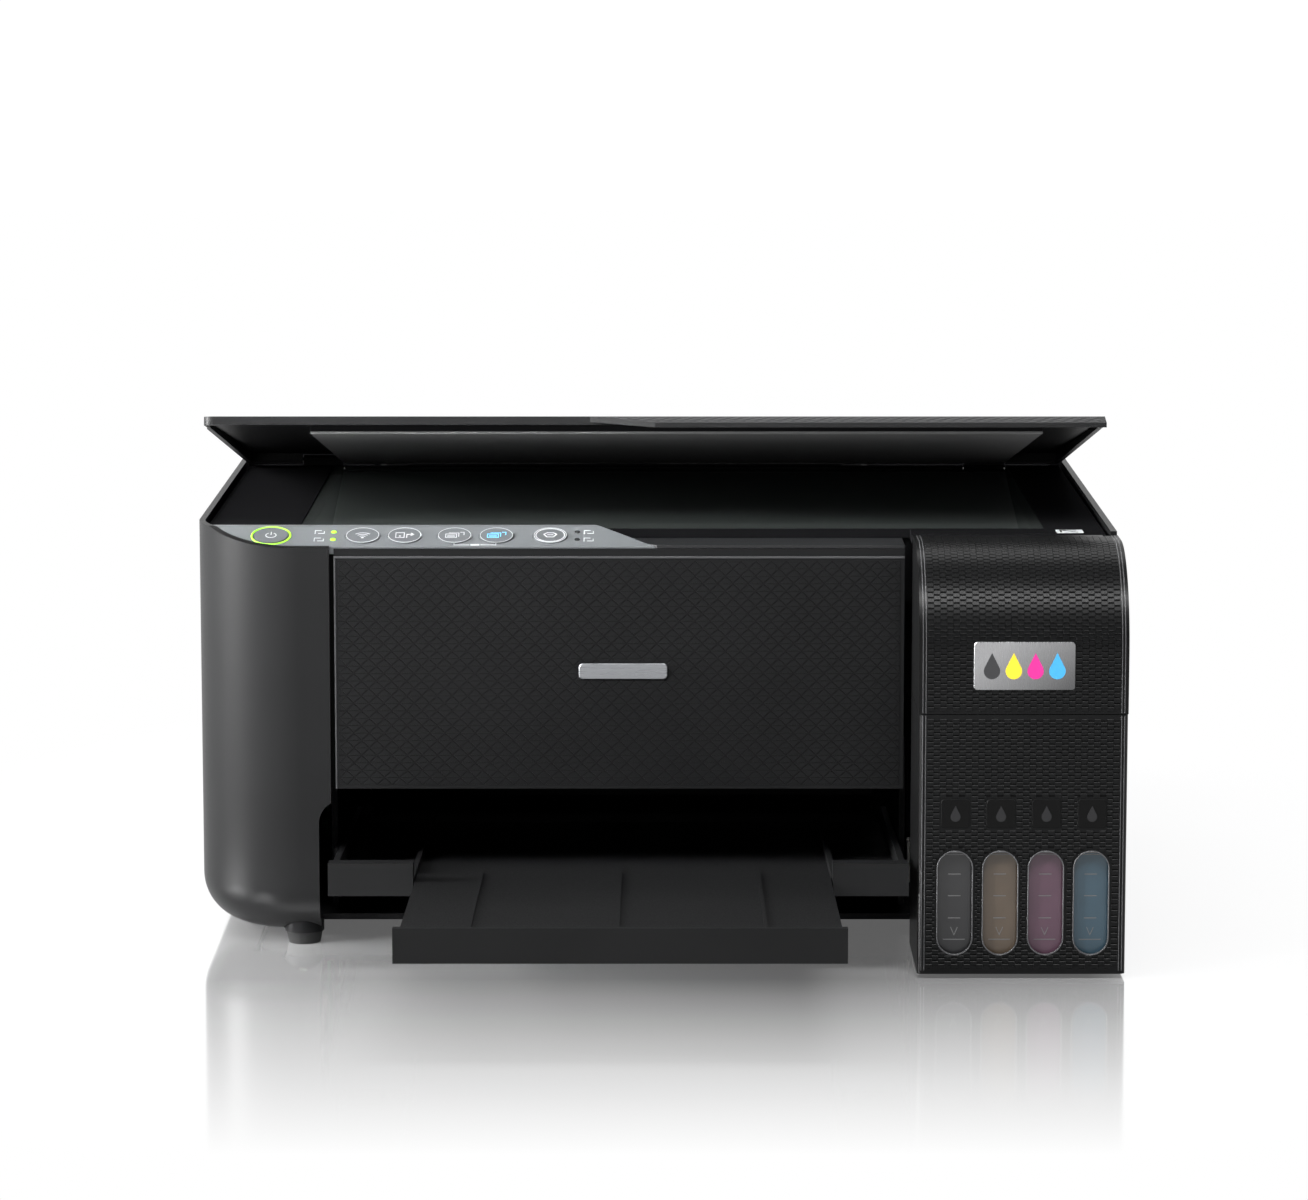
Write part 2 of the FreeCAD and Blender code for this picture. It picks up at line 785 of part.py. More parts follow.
def hinge_posts():
    """The two legs of the document cover, which slide in the scanner's sockets."""
    posts = []
    for x in ("-150", "150"):
        leg = box(f"{x}-9", f"{x}+9", "deck_rear+1.2", "deck_rear+4.8", "146", "cover_axis_z-0.6")
        barrel = rod("x", f"{x}-9", f"{x}+9", "cover_axis_y", "cover_axis_z", "1.9")
        bore = rod("x", f"{x}-10", f"{x}+10", "cover_axis_y", "cover_axis_z", "0.95")
        posts.append(cut(join(leg, barrel), bore))
    node("hinge_posts", group(*posts))


def document_cover():
    """The lid over the glass, closed first, then turned up to where it stands ajar."""
    lip = "cover_top-cover_edge"
    top = plan_block("-cover_half", "cover_half", "cover_front", "cover_rear", lip, "cover_top")
    round_edges(top, "cover_corner_r", ("left", "front"))
    skirt = plan_block(
        "-cover_half", "cover_half", "cover_front", "cover_rear", "cover_under", f"{lip}+0.2"
    )
    round_edges(skirt, "tub_corner_r+3", ("left", "front"))
    open_front = box("-cover_half+2", "cover_half+1", "0", "panel_rear+2.7", "0", lip)
    taper = side_profile(
        (
            ("cover_front-1", "cover_under-1"),
            ("cover_front-1", f"{lip}-0.4"),
            ("cover_rear-20", "cover_under"),
            ("cover_rear-20", "cover_under-1"),
        ),
        "-cover_half-1",
        "cover_half+1",
    )
    slope = side_profile(
        (
            ("cover_front", "cover_top"),
            ("cover_tip", "cover_tip_top"),
            ("cover_tip", "cover_tip_top-1.9"),
            ("cover_front", "cover_top-2.3"),
        ),
        "flange_start",
        "cover_half",
    )
    swept = (
        ("flange_start", "cover_front"),
        ("panel_tip", "cover_tip"),
        ("cover_half", "cover_tip"),
        ("cover_half", "cover_front"),
    )
    flange = common(slope, outline("XY_Plane", swept, "cover_under-9", "30"))
    hollow = box(
        "-cover_half+2", "cover_half-2", "panel_rear+2.6", "cover_rear-6", "cover_under-1", "cover_top-2.2"
    )
    gaps = []
    pins = []
    for x in ("-150", "150"):
        gaps.append(box(f"{x}-9.6", f"{x}+9.6", "cover_rear-6.8", "cover_rear+1", "0", "cover_axis_z+2.2"))
        pins.append(rod("x", f"{x}-9.6", f"{x}+9.6", "cover_axis_y", "cover_axis_z", "0.8"))
    shell = join(top, cut(skirt, open_front, taper), flange)
    closed = join(cut(shell, hollow, *gaps), *pins)
    node("document_cover", turned(closed, -size("cover_ajar"), "cover_axis_y", "cover_axis_z"))


def document_mat():
    """The pad that presses the page to the glass."""
    pad = box("mat_left", "mat_right", "glass_front-0.2", "295", "deck_top+0.5", "cover_top-2.2")
    node("document_mat", turned(pad, -size("cover_ajar"), "cover_axis_y", "cover_axis_z"))


# ---------------------------------------------------------------- output tray


def output_tray():
    """First stage: a floor with side walls and two front lips, drawn level and then sloped."""
    floor = box("tray_left", "tray_right", "4.5", "tray_length", "0", "2.4")
    walls = [
        box("tray_left", "tray_left+2.5", "4.5", "tray_length", "2.4", "9.5"),
        box("tray_right-2.5", "tray_right", "4.5", "tray_length", "2.4", "9.5"),
    ]
    lips = [
        box("tray_left", "stage_left-0.6", "0", "10", "0", "tray_lip"),
        box("stage_right+0.6", "tray_right", "0", "10", "0", "tray_lip"),
    ]
    ribs = [
        box("stage_left-0.6-2", "stage_left-0.6", "10", "tray_length", "2.4", "6"),
        box("stage_right+0.6", "stage_right+2.6", "10", "tray_length", "2.4", "6"),
    ]
    tray = join(floor, *walls, *lips, *ribs)
    node("output_tray", tray, -size("tray_slope"), y="0", z="tray_low")


def tray_extension():
    """Second stage: a narrower plate with an upright stop at its front end."""
    start = "-stage_out"
    end = f"{start}+stage_length"
    plate = box("stage_left", "stage_right", start, end, "2.8", "5.4")
    stop = box("stage_left", "stage_right", start, f"{start}+4", "0.7", "tray_lip+0.7")
    grip = box("-34", "6", f"{start}+12", f"{start}+20", "4.6", "6")
    ribs = [box(x, f"{x}+1.6", f"{start}+4", end, "5.4", "6.2") for x in ("-70", "-14.5", "41")]
    stage = cut(join(plate, stop, *ribs), grip)
    node("tray_extension", stage, -size("tray_slope"), y="0", z="tray_low")


def tray_rails():
    """Fixed channels in the base that the tray's edges run in."""
    rails = []
    for x0, x1, foot0, foot1 in (
        ("tray_left-1.9", "tray_left-0.5", "tray_left-1.9", "tray_left+3"),
        ("tray_right+0.5", "tray_right+0.7", "tray_right-3", "tray_right+0.7"),
    ):
        web = box(x0, x1, "70", "270", "-8", "9")
        shelf = box(foot0, foot1, "70", "270", "-2.2", "-0.4")
        rails.append(join(web, shelf))
    pair = group(*rails)
    pair.Placement.Rotation = FreeCAD.Rotation(X_AXIS, -size("tray_slope"))
    move_to(pair, "0", "0", "tray_low")
    return pair


# ---------------------------------------------------------------- paper feed


def lean_box(x0, x1, along0, along1, out0, out1):
    """A block on the leaning feed path: along runs down the path, out stands off it to the front."""
    return box(x0, x1, f"-({out1})", f"-({out0})", f"-({along1})", f"-({along0})")


def lean(label, thing):
    """Leans a piece back about the top of the feed path."""
    node(label, thing, -size("feed_lean"), y="feed_top_y", z="rim_top")


def paper_support():
    """The plate that slides up behind the paper, with a grip hole."""
    plate = lean_box("feed_left+8", "feed_right-8", "6", "104", "0.2", "2.6")
    grip = lean_box("-30", "2", "12", "18", "-1", "4")
    lean("paper_support", cut(plate, grip))


def hopper_plate():
    """The plate that lifts the stack against the pickup roller."""
    plate = lean_box("feed_left", "feed_right", "27", "105", "5", "7.5")
    pad = lean_box("-34", "6", "88", "103", "7.5", "8.3")
    lean("hopper_plate", join(plate, pad))


def edge_guides():
    """Two side guides that close in on the paper together."""
    left = join(
        lean_box("feed_left-3", "feed_left-0.6", "15", "40", "8.8", "17"),
        lean_box("feed_left-3", "feed_left+12", "28", "40", "8.8", "10.2"),
    )
    right = join(
        lean_box("feed_right+0.6", "feed_right+3", "15", "40", "8.8", "17"),
        lean_box("feed_right-12", "feed_right+3", "28", "40", "8.8", "10.2"),
    )
    lean("edge_guide_left", left)
    lean("edge_guide_right", right)


def feeder_guard():
    """The flap over the paper slot, hinged along its rear edge."""
    flap = box("feed_left-4", "feed_right+4", "318.5", "333", "rim_top+0.4", "rim_top+2.6")
    barrel = rod("x", "feed_left-4", "feed_right+4", "333", "rim_top+1.7", "1.3")
    node("feeder_guard", join(flap, barrel))


def rear_deck():
    """The top of the case behind the scanner, with the paper slot and the guard's bearings."""
    plate = box("-half_width+wall", "half_width-wall", "318", "case_rear-wall", "rim_top-2.5", "rim_top")
    slot = box("feed_left-6.4", "feed_right+6.4", "310", "341.5", "rim_top-9", "rim_top+1")
    skirt = box("-half_width+wall", "half_width-wall", "318", "320", "rim_top-9", "rim_top-2.5")
    cheeks = []
    for x0, x1 in (("feed_left-6.4", "feed_left-4.3"), ("feed_right+4.3", "feed_right+6.4")):
        cheeks.append(box(x0, x1, "330.5", "341.5", "rim_top-2.5", "rim_top+3"))
    node("rear_deck", join(cut(join(plate, skirt), slot), *cheeks, *scanner_hinges()))


def platen():
    """The bed under the print head, with ribs that carry the paper."""
    bed = box("feed_left-4", "feed_right+4", "156", "197", "70", "78")
    ribs = [box(f"{x}", f"{x}+1.4", "158", "195", "78", "79.6") for x in range(-120, 95, 12)]
    node("platen", join(bed, *ribs))


def shaft_with_tyres(y, z, radius, tyre_r, spans, left, right):
    """A shaft along X that carries rubber tyres over the given spans."""
    shaft = rod("x", left, right, y, z, radius)
    tyres = [rod("x", start, end, y, z, tyre_r) for start, end in spans]
    return join(shaft, *tyres)


def rollers():
    """Pickup roller, and the shafts of the feed and eject rollers, which gears() finishes."""
    inner = ("plate_left+plate_thick+0.4", "plate_right-0.4")
    feed = shaft_with_tyres("roller_y", "roller_z", "3", "roller_r", [inner], "gear_x+gear_width", "104")
    nodes["feed_roller"] = feed
    tyres = [(f"{x}", f"{x}+14") for x in (-112, -70, -28, 14, 56)]
    eject = shaft_with_tyres("eject_y", "roller_z", "3", "eject_r", tyres, "gear_x+gear_width", "104")
    nodes["eject_roller"] = eject
    pickup = shaft_with_tyres("pickup_y", "pickup_z", "3", "pickup_r", [("-34", "6")], "-133.8", "104")
    node("pickup_roller", pickup)


def pinch_rollers():
    """Idle rollers that press the sheet to the feed roller."""
    tyres = [(f"{x}", f"{x}+20") for x in (-112, -72, -32, 8, 48)]
    bar = shaft_with_tyres("roller_y", "roller_z+roller_r+3.25", "1", "3", tyres, "-118", "90")
    node("pinch_rollers", bar)


def star_points():
    """A small star wheel's outline about its own centre."""
    points = []
    for i in range(STAR_TEETH * 2):
        reach = 4 if i % 2 == 0 else 3.1
        angle = math.pi * i / STAR_TEETH
        points.append(FreeCAD.Vector(reach * math.cos(angle), reach * math.sin(angle), 0))
    return points + points[:1]


def across(shape, x, y, z, angle=0.0):
    """A Part::Feature whose flat outline, drawn in x and y, stands across the X axis."""
    shape.rotate(FreeCAD.Vector(), Z_AXIS, math.degrees(angle))
    shape.rotate(FreeCAD.Vector(), FreeCAD.Vector(1, 1, 1), 120)
    shape.translate(FreeCAD.Vector(x, y, z))
    feature = doc.addObject("Part::Feature", "Shaped")
    feature.Shape = shape
    return feature


def star_wheels():
    """Thin toothed wheels on one spindle, above the eject roller."""
    height = size("roller_z") + size("eject_r") + 4.2
    spindle = rod("x", "-115", "80", "eject_y", "roller_z+eject_r+4.2", "0.8")
    wheels = []
    for x in (-105, -63, -21, 21, 63):
        face = Part.Face(Part.makePolygon(star_points()))
        wheels.append(across(face.extrude(Z_AXIS * 0.8), x, size("eject_y"), height))
    node("star_wheels", join(spindle, *wheels))


def wheel_holders():
    """Fixed bars that hold the star wheel spindle and the pinch roller shaft."""
    holders = []
    star_z = "roller_z+eject_r+4.2"
    star_bar = box("-128", "99", "eject_y-7", "eject_y+2.5", "92", "94")
    star_arms = [
        box(x0, f"{x0}+2", "eject_y-2", "eject_y+2", f"{star_z}-2", "92") for x0 in ("-117.5", "80.6")
    ]
    holders.append(join(star_bar, *star_arms))
    pinch_z = "roller_z+roller_r+3.25"
    for x0 in ("-121", "91"):
        holders.append(box(x0, f"{x0}+2", "roller_y-2", "roller_y+12", f"{pinch_z}-2", f"{pinch_z}+4"))
    node("wheel_holders", group(*holders))


# ---------------------------------------------------------------- gears


def gear_face(teeth, module):
    """An involute gear's outline with a little backlash, tooth 0 centred on the x axis."""
    pressure = math.radians(20)
    pitch_r = module * teeth / 2
    base_r = pitch_r * math.cos(pressure)
    tip_r = pitch_r + module
    root_r = pitch_r - 1.3 * module
    half_pitch_tooth = math.pi / (2 * teeth) - 0.06 / pitch_r
    flank = []
    low = max(base_r, root_r)
    for i in range(5):
        radius = low + (tip_r - low) * i / 4
        roll = math.acos(base_r / radius)
        half = half_pitch_tooth + (math.tan(pressure) - pressure) - (math.tan(roll) - roll)
        flank.append((radius, half))
    points = []
    for tooth in range(teeth):
        centre = 2 * math.pi * tooth / teeth
        rising = [(root_r, -flank[0][1])] + [(radius, -half) for radius, half in flank]
        falling = [(radius, half) for radius, half in reversed(flank)] + [(root_r, flank[0][1])]
        for radius, angle in rising + falling:
            points.append(
                FreeCAD.Vector(radius * math.cos(centre + angle), radius * math.sin(centre + angle), 0)
            )
    return Part.Face(Part.makePolygon(points + points[:1]))


def meshing_angle(angle, teeth, other_teeth, direction):
    """The angle of tooth 0 on the second gear that meshes with the first, along the line of centres."""
    share = 0.5 - (direction - angle) * teeth / (2 * math.pi)
    return direction + math.pi - share * 2 * math.pi / other_teeth


def gears():
    """Pinion, feed gear, idler and eject gear in one plane."""
    module = size("gear_module")
    feed = (size("roller_y"), size("roller_z"))
    eject = (size("eject_y"), size("roller_z"))
    idler = ((feed[0] + eject[0]) / 2, size("idler_z"))
    reach = module * (FEED_TEETH + PINION_TEETH) / 2
    down = -math.pi / 4
    pinion = (feed[0] + reach * math.cos(down), feed[1] + reach * math.sin(down))
    to_idler = math.atan2(idler[1] - feed[1], idler[0] - feed[0])
    to_eject = math.atan2(eject[1] - idler[1], eject[0] - idler[0])
    idler_angle = meshing_angle(0, FEED_TEETH, IDLER_TEETH, to_idler)
    eject_angle = meshing_angle(idler_angle, IDLER_TEETH, FEED_TEETH, to_eject)
    pinion_angle = meshing_angle(0, FEED_TEETH, PINION_TEETH, down)
    for label, teeth, place, angle, bore in (
        ("feed_roller", FEED_TEETH, feed, 0, 0),
        ("idler_gear", IDLER_TEETH, idler, idler_angle, 2.6),
        ("eject_roller", FEED_TEETH, eject, eject_angle, 0),
        ("feed_pinion", PINION_TEETH, pinion, pinion_angle, 0),
    ):
        solid = gear_face(teeth, module).extrude(Z_AXIS * size("gear_width"))
        if bore:
            solid = solid.cut(Part.makeCylinder(bore, size("gear_width")))
        gear = across(solid, size("gear_x"), place[0], place[1], angle)
        node(label, join(nodes[label], gear) if label in nodes else gear)
    motor = join(
        rod("x", "gear_x-26", "gear_x-2", f"{pinion[0]}", f"{pinion[1]}", "13"),
        rod("x", "gear_x-2", "gear_x-0.02", f"{pinion[0]}", f"{pinion[1]}", "1.5"),
        box("gear_x-24", "gear_x-4", f"{pinion[0]}-6", f"{pinion[0]}+6", "10.1", f"{pinion[1]}-10"),
    )
    carriage_motor = rod("y", "frame_y+1.6", "frame_y+30", "pulley_x", "belt_z", "14")
    node("drive_motors", group(motor, carriage_motor))


# ---------------------------------------------------------------- print carriage


def print_carriage():
    """The open-topped holder of the print head, parked at the right."""
    left = "carriage_x-carriage_half"
    right = "carriage_x+carriage_half"
    shell = box(left, right, "153", "213", "90", "134")
    hollow = box(f"{left}+2", f"{right}-2", "155", "211", "92", "135")
    mouth = box("carriage_x-26", "carriage_x+26", "159", "196", "89", "93")
    clip = box("carriage_x-8", "carriage_x+8", "213", "215.6", "belt_z-belt_half-2", "belt_z-belt_half+2")
    node("print_carriage", join(cut(shell, hollow, mouth), clip))


def print_head():
    """The head, which hangs through the carriage floor, with its nozzle plate."""
    body = box("carriage_x-25.6", "carriage_x+25.6", "159.4", "195.6", "86", "104")
    plate = box("carriage_x-20", "carriage_x+20", "164", "191", "82", "86")
    node("print_head", join(body, plate))


def carriage_frame():
    """The sheet metal beam that the carriage runs along."""
    web = box("-180", "180", "frame_y", "frame_y+1.6", "92", "138")
    shelf = box("-180", "180", "frame_y-10", "frame_y", "136.4", "138")
    hole = rod("y", "frame_y-1", "frame_y+3", "pulley_x", "belt_z", "3")
    legs = [
        box(x0, f"{x0}+3", "frame_y+1.6", "frame_y+9", "36", "138") for x0 in ("-131.6", "98.9")
    ]
    idler_pin = rod("y", "215.6", "frame_y", "-pulley_x", "belt_z", "1.5")
    node("carriage_frame", join(cut(join(web, shelf), hole), idler_pin, *legs))


def carriage_belt():
    """The toothed belt loop, kept plain."""
    outer = join(
        box("-pulley_x", "pulley_x", "216", "220", "belt_z-belt_half-0.6", "belt_z+belt_half+0.6"),
        rod("y", "216", "220", "-pulley_x", "belt_z", "belt_half+0.6"),
        rod("y", "216", "220", "pulley_x", "belt_z", "belt_half+0.6"),
    )
    inner = join(
        box("-pulley_x", "pulley_x", "215", "221", "belt_z-belt_half+0.3", "belt_z+belt_half-0.3"),
        rod("y", "215", "221", "-pulley_x", "belt_z", "belt_half-0.3"),
        rod("y", "215", "221", "pulley_x", "belt_z", "belt_half-0.3"),
    )
    node("carriage_belt", cut(outer, inner))


def pulleys():
    """The motor's pulley and the idle pulley at the ends of the belt."""
    motor_pulley = join(
        rod("y", "216", "220", "pulley_x", "belt_z", "pulley_r"),
        rod("y", "220", "frame_y+1.6", "pulley_x", "belt_z", "1.5"),
    )
    node("motor_pulley", motor_pulley)
    wheel = rod("y", "216", "220", "-pulley_x", "belt_z", "pulley_r")
    bore = rod("y", "215", "221", "-pulley_x", "belt_z", "1.75")
    node("idler_pulley", cut(wheel, bore))


def capping_station():
    """The pump block with a rubber cap under the parked head."""
    block = box("108", "163", "150", "204", "30", "72")
    legs = [box(x, f"{x}+6", "156", "198", "10.1", "30") for x in ("112", "153")]
    cup = cut(
        box("carriage_x-22", "carriage_x+22", "162", "193", "72", "80.5"),
        box("carriage_x-20", "carriage_x+20", "164", "191", "74", "81"),
    )
    node("capping_station", join(block, cup, *legs))


def waste_ink_pad():
    node("waste_ink_pad", box("108", "160", "140", "149", "10.1", "28"))


def circuit_boards():
    """The main board, upright at the left, with its larger components, and the buttons' board."""
    board = box("-146", "-144.4", "236", "332", "18", "104")
    chips = [
        box("-150", "-146", "250", "272", "60", "82"),
        box("-149", "-146", "286", "300", "64", "78"),
        box("-156", "-146", "310", "326", "84", "98"),
        box("-153", "-146", "244", "322", "22", "30"),
    ]
    stands = [box("-148", "-142", y0, f"{y0}+5", "10.1", "18") for y0 in ("238", "325")]
    node("circuit_boards", group(join(board, *chips, *stands), panel_board()))


def power_supply():
    """The power brick, right of the feed path."""
    case = plan_block("112", "160", "236", "330", "10.1", "58")
    node("power_supply", case)


def rear_sockets():
    """A two-pin power inlet and a square data socket."""
    inlet = cut(
        join(
            box("122", "146", "case_rear-3", "case_rear-0.1", "40", "60"),
            box("124", "144", "332", "case_rear-3", "42", "58"),
        ),
        box("126.5", "141.5", "case_rear-9", "case_rear+1", "45.5", "54.5"),
    )
    pins = [rod("y", "case_rear-9.5", "case_rear-2", x, "50", "1.3") for x in ("130", "138")]
    data = cut(
        join(
            box("-160", "-148", "case_rear-14", "case_rear-0.1", "45", "56"),
            box("-160", "-148", "case_rear-14", "case_rear-12", "40", "45"),
        ),
        box("-158", "-150", "case_rear-10", "case_rear+1", "46.6", "54.4"),
    )
    tongue = box("-156", "-152", "case_rear-10.5", "case_rear-2", "49.2", "51.8")
    node("rear_sockets", group(join(inlet, *pins), join(data, tongue)))


def build_all():
    """Every sub-part in turn, outside first."""
    for make in (
        left_side_cover,
        right_side_cover,
        rear_cover,
        cover_screws,
        front_panel,
        front_ledge,
        rubber_feet,
        base_frame,
        control_panel,
        buttons,
        tank_housing,
        tank_cover,
        ink_tanks,
        ink_tubes,
        filler_caps,
        scanner_base,
        scanner_bezel,
        scanner_glass,
        scan_rail,
        scan_head,
        hinge_posts,
        document_cover,
        document_mat,
        output_tray,
        tray_extension,
        paper_support,
        hopper_plate,
        edge_guides,
        feeder_guard,
        rear_deck,
        platen,
        rollers,
        pinch_rollers,
        star_wheels,
        wheel_holders,
        gears,
        print_carriage,
        print_head,
        carriage_frame,
        carriage_belt,
        pulleys,
        capping_station,
        waste_ink_pad,
        circuit_boards,
        power_supply,
        rear_sockets,
    ):
        make()


def check_and_write():
    """Refuses a failed object or a bad shape, then writes one STEP file for each node."""
    doc.recompute()
    for item in doc.Objects:
        if "Invalid" in item.State or "Error" in item.State:
            raise RuntimeError(f"{item.Name} ({item.Label}) failed: {item.State}")
    os.makedirs("parts", exist_ok=True)
    for label, item in nodes.items():
        shape = item.Shape
        if shape.isNull() or not shape.isValid() or not shape.Solids:
            raise RuntimeError(f"{label} has no valid solid")
        shape.exportStep(f"parts/{label}.step")
    print(len(nodes), "nodes written")


write_dimensions()
build_all()
check_and_write()
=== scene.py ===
"""Looks of the ink-tank inkjet printer: materials, relief, markings, floor, lights and camera.

Sizes are in millimetres, apart from the surroundings' places and reaches, which are in metres. X is to the
right, depths are measured back from the tank unit's front face, and heights up from the floor.
"""

import functools
import math

import bpy
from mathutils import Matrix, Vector


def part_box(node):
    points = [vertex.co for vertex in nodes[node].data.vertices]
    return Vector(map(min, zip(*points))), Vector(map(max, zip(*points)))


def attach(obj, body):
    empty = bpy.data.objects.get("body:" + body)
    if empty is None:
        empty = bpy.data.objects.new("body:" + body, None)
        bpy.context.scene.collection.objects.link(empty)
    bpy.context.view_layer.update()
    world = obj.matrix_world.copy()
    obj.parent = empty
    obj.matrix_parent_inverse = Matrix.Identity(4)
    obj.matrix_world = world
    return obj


MM = 0.001
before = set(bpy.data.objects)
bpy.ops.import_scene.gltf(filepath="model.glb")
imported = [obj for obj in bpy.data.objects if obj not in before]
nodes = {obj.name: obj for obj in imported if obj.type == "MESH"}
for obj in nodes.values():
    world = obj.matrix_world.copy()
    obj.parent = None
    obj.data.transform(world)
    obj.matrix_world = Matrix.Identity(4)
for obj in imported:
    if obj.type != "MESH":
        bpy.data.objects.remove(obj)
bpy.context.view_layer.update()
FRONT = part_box("tank_housing")[0].y


@functools.lru_cache(maxsize=None)
def edges_of(node):
    """A node's box in millimetres, depths measured from the tank unit's front face."""
    low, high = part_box(node)
    return (
        (low.x / MM, high.x / MM),
        ((low.y - FRONT) / MM, (high.y - FRONT) / MM),
        (low.z / MM, high.z / MM),
    )


def at(x, y, z):
    """A point given in millimetres, its depth measured from the tank unit's front face."""
    return Vector((x * MM, FRONT + y * MM, z * MM))


# ---------------------------------------------------------------- shapes


RING_CREST = (0.25, 0.75)


class Sheet:
    """A flat place to draw on: its middle, its right and up directions, and the way it faces."""

    def __init__(self, middle, right, up):
        self.middle = middle
        self.right = right.normalized()
        self.up = up.normalized()
        self.out = self.right.cross(self.up)

    def point(self, across, up, out=0.0):
        """A point of the sheet, or one that stands off it by out."""
        return self.middle + (self.right * across + self.up * up + self.out * out) * MM


class Solids:
    """Many small closed solids gathered into one mesh."""

    def __init__(self):
        self.verts = []
        self.faces = []

    def plate(self, sheet, outline, low, high, chamfer=0.0):
        """A flat plate with an optional chamfer round its top."""
        rings = [[sheet.point(a, b, low) for a, b in outline]]
        if chamfer:
            rings.append([sheet.point(a, b, high - chamfer) for a, b in outline])
            outline = shrunk(outline, chamfer)
        rings.append([sheet.point(a, b, high) for a, b in outline])
        self.stack(rings)

    def stack(self, rings):
        """A closed solid through several rings of points."""
        count = len(rings[0])
        start = len(self.verts)
        for ring in rings:
            self.verts += ring
        self.faces.append(tuple(start + i for i in reversed(range(count))))
        last = start + count * (len(rings) - 1)
        self.faces.append(tuple(last + i for i in range(count)))
        for level in range(len(rings) - 1):
            base = start + count * level
            for i in range(count):
                j = (i + 1) % count
                self.faces.append((base + i, base + j, base + count + j, base + count + i))

    def ring(self, sheet, outer, inner, low, high, chamfer=0.0):
        """A closed band between two outlines of the same count."""
        count = len(outer)
        loops = [(outer, low), (outer, high - chamfer)]
        if chamfer:
            loops += [(between(outer, inner, share), high) for share in RING_CREST]
        loops += [(inner, high - chamfer), (inner, low)]
        start = len(self.verts)
        for outline, height in loops:
            self.verts += [sheet.point(a, b, height) for a, b in outline]
        rows = len(loops)
        for row in range(rows):
            here = start + count * row
            there = start + count * ((row + 1) % rows)
            for i in range(count):
                j = (i + 1) % count
                self.faces.append((here + i, here + j, there + j, there + i))

    def stroke(self, sheet, points, width, low, high):
        """A line of even width drawn through points, as one solid for each straight run."""
        for (x0, y0), (x1, y1) in zip(points, points[1:]):
            length = math.hypot(x1 - x0, y1 - y0)
            ahead = ((x1 - x0) / length * width / 2, (y1 - y0) / length * width / 2)
            side = (-ahead[1], ahead[0])
            outline = [
                (x0 - ahead[0] - side[0], y0 - ahead[1] - side[1]),
                (x1 + ahead[0] - side[0], y1 + ahead[1] - side[1]),
                (x1 + ahead[0] + side[0], y1 + ahead[1] + side[1]),
                (x0 - ahead[0] + side[0], y0 - ahead[1] + side[1]),
            ]
            self.plate(sheet, outline, low, high)

    def piece(self, name, material, body, smooth=False):
        """Turns the gathered solids into one mesh piece that rides on a body."""
        mesh = bpy.data.meshes.new(name)
        mesh.from_pydata([tuple(v) for v in self.verts], [], self.faces)
        mesh.validate()
        mesh.update()
        mesh.materials.append(material)
        if smooth:
            mesh.shade_smooth()
        thing = bpy.data.objects.new(name, mesh)
        bpy.context.scene.collection.objects.link(thing)
        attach(thing, body)


def circle(radius, count=48, across=0.0, up=0.0, start=0.0, turn=360.0):
    """Points round a circle, or along part of it."""
    steps = count if turn >= 360 else count - 1
    return [
        (
            across + radius * math.cos(math.radians(start + turn * i / steps)),
            up + radius * math.sin(math.radians(start + turn * i / steps)),
        )
        for i in range(count)
    ]


def rounded(width, height, radius, steps=6, across=0.0, up=0.0):
    """A rectangle with round corners, anticlockwise from the lower right."""
    points = []
    for number, (sx, sy) in enumerate(((1, -1), (1, 1), (-1, 1), (-1, -1))):
        cx = across + sx * (width / 2 - radius)
        cy = up + sy * (height / 2 - radius)
        for i in range(steps + 1):
            angle = math.radians(-90 + 90 * number + 90 * i / steps)
            points.append((cx + radius * math.cos(angle), cy + radius * math.sin(angle)))
    return points


def oblong(left, right, low, high):
    """A rectangle given by its sides."""
    return [(left, low), (right, low), (right, high), (left, high)]


def shrunk(outline, inset):
    """An outline moved in by about inset towards its middle."""
    middle_x = sum(a for a, b in outline) / len(outline)
    middle_y = sum(b for a, b in outline) / len(outline)
    half_w = max(abs(a - middle_x) for a, b in outline)
    half_h = max(abs(b - middle_y) for a, b in outline)
    return [
        (
            middle_x + (a - middle_x) * (1 - inset / half_w),
            middle_y + (b - middle_y) * (1 - inset / half_h),
        )
        for a, b in outline
    ]


def between(first, second, share):
    """An outline part of the way from the first to the second, which has as many points."""
    return [
        (a + (c - a) * share, b + (d - b) * share) for (a, b), (c, d) in zip(first, second)
    ]


DROP_ROUNDNESS = 0.31
DROP_START = 150
DROP_TURN = 240


def drop(height, across=0.0, up=0.0, count=20):
    """A plain ink drop, anticlockwise, with its tip up."""
    radius = height * DROP_ROUNDNESS
    low = up - height / 2 + radius
    points = circle(radius, count, across, low, DROP_START, DROP_TURN)
    return points + [(across, up + height / 2)]


# ---------------------------------------------------------------- materials


NOISE_BAND = (0.3, 0.7)
PATCH_SIZE = 38
GLOSS_SPREAD = 0.05
BRUSH_WIDTH = 0.35
# painted shade across the label: how steeply its run slopes down, where it starts and ends, and its
# darkest share
LABEL_SLOPE = 0.7
LABEL_SHADE_SPAN = (0.35, 1.6)
LABEL_DARKEST = 0.33
DARK = (0.0105, 0.0107, 0.0111)
INK_TINTS = (
    (0.02, 0.02, 0.0212),
    (0.092, 0.068, 0.048),
    (0.096, 0.048, 0.073),
    (0.036, 0.07, 0.096),
)


def new_material(name):
    """A new material, with its node tree and its Principled shader."""
    material = bpy.data.materials.new(name)
    material.use_nodes = True
    tree = material.node_tree
    return material, tree, tree.nodes["Principled BSDF"]


def add(tree, kind, **values):
    """A shader node with its input sockets filled by name."""
    node = tree.nodes.new(kind)
    for key, value in values.items():
        node.inputs[key.replace("_", " ")].default_value = value
    return node


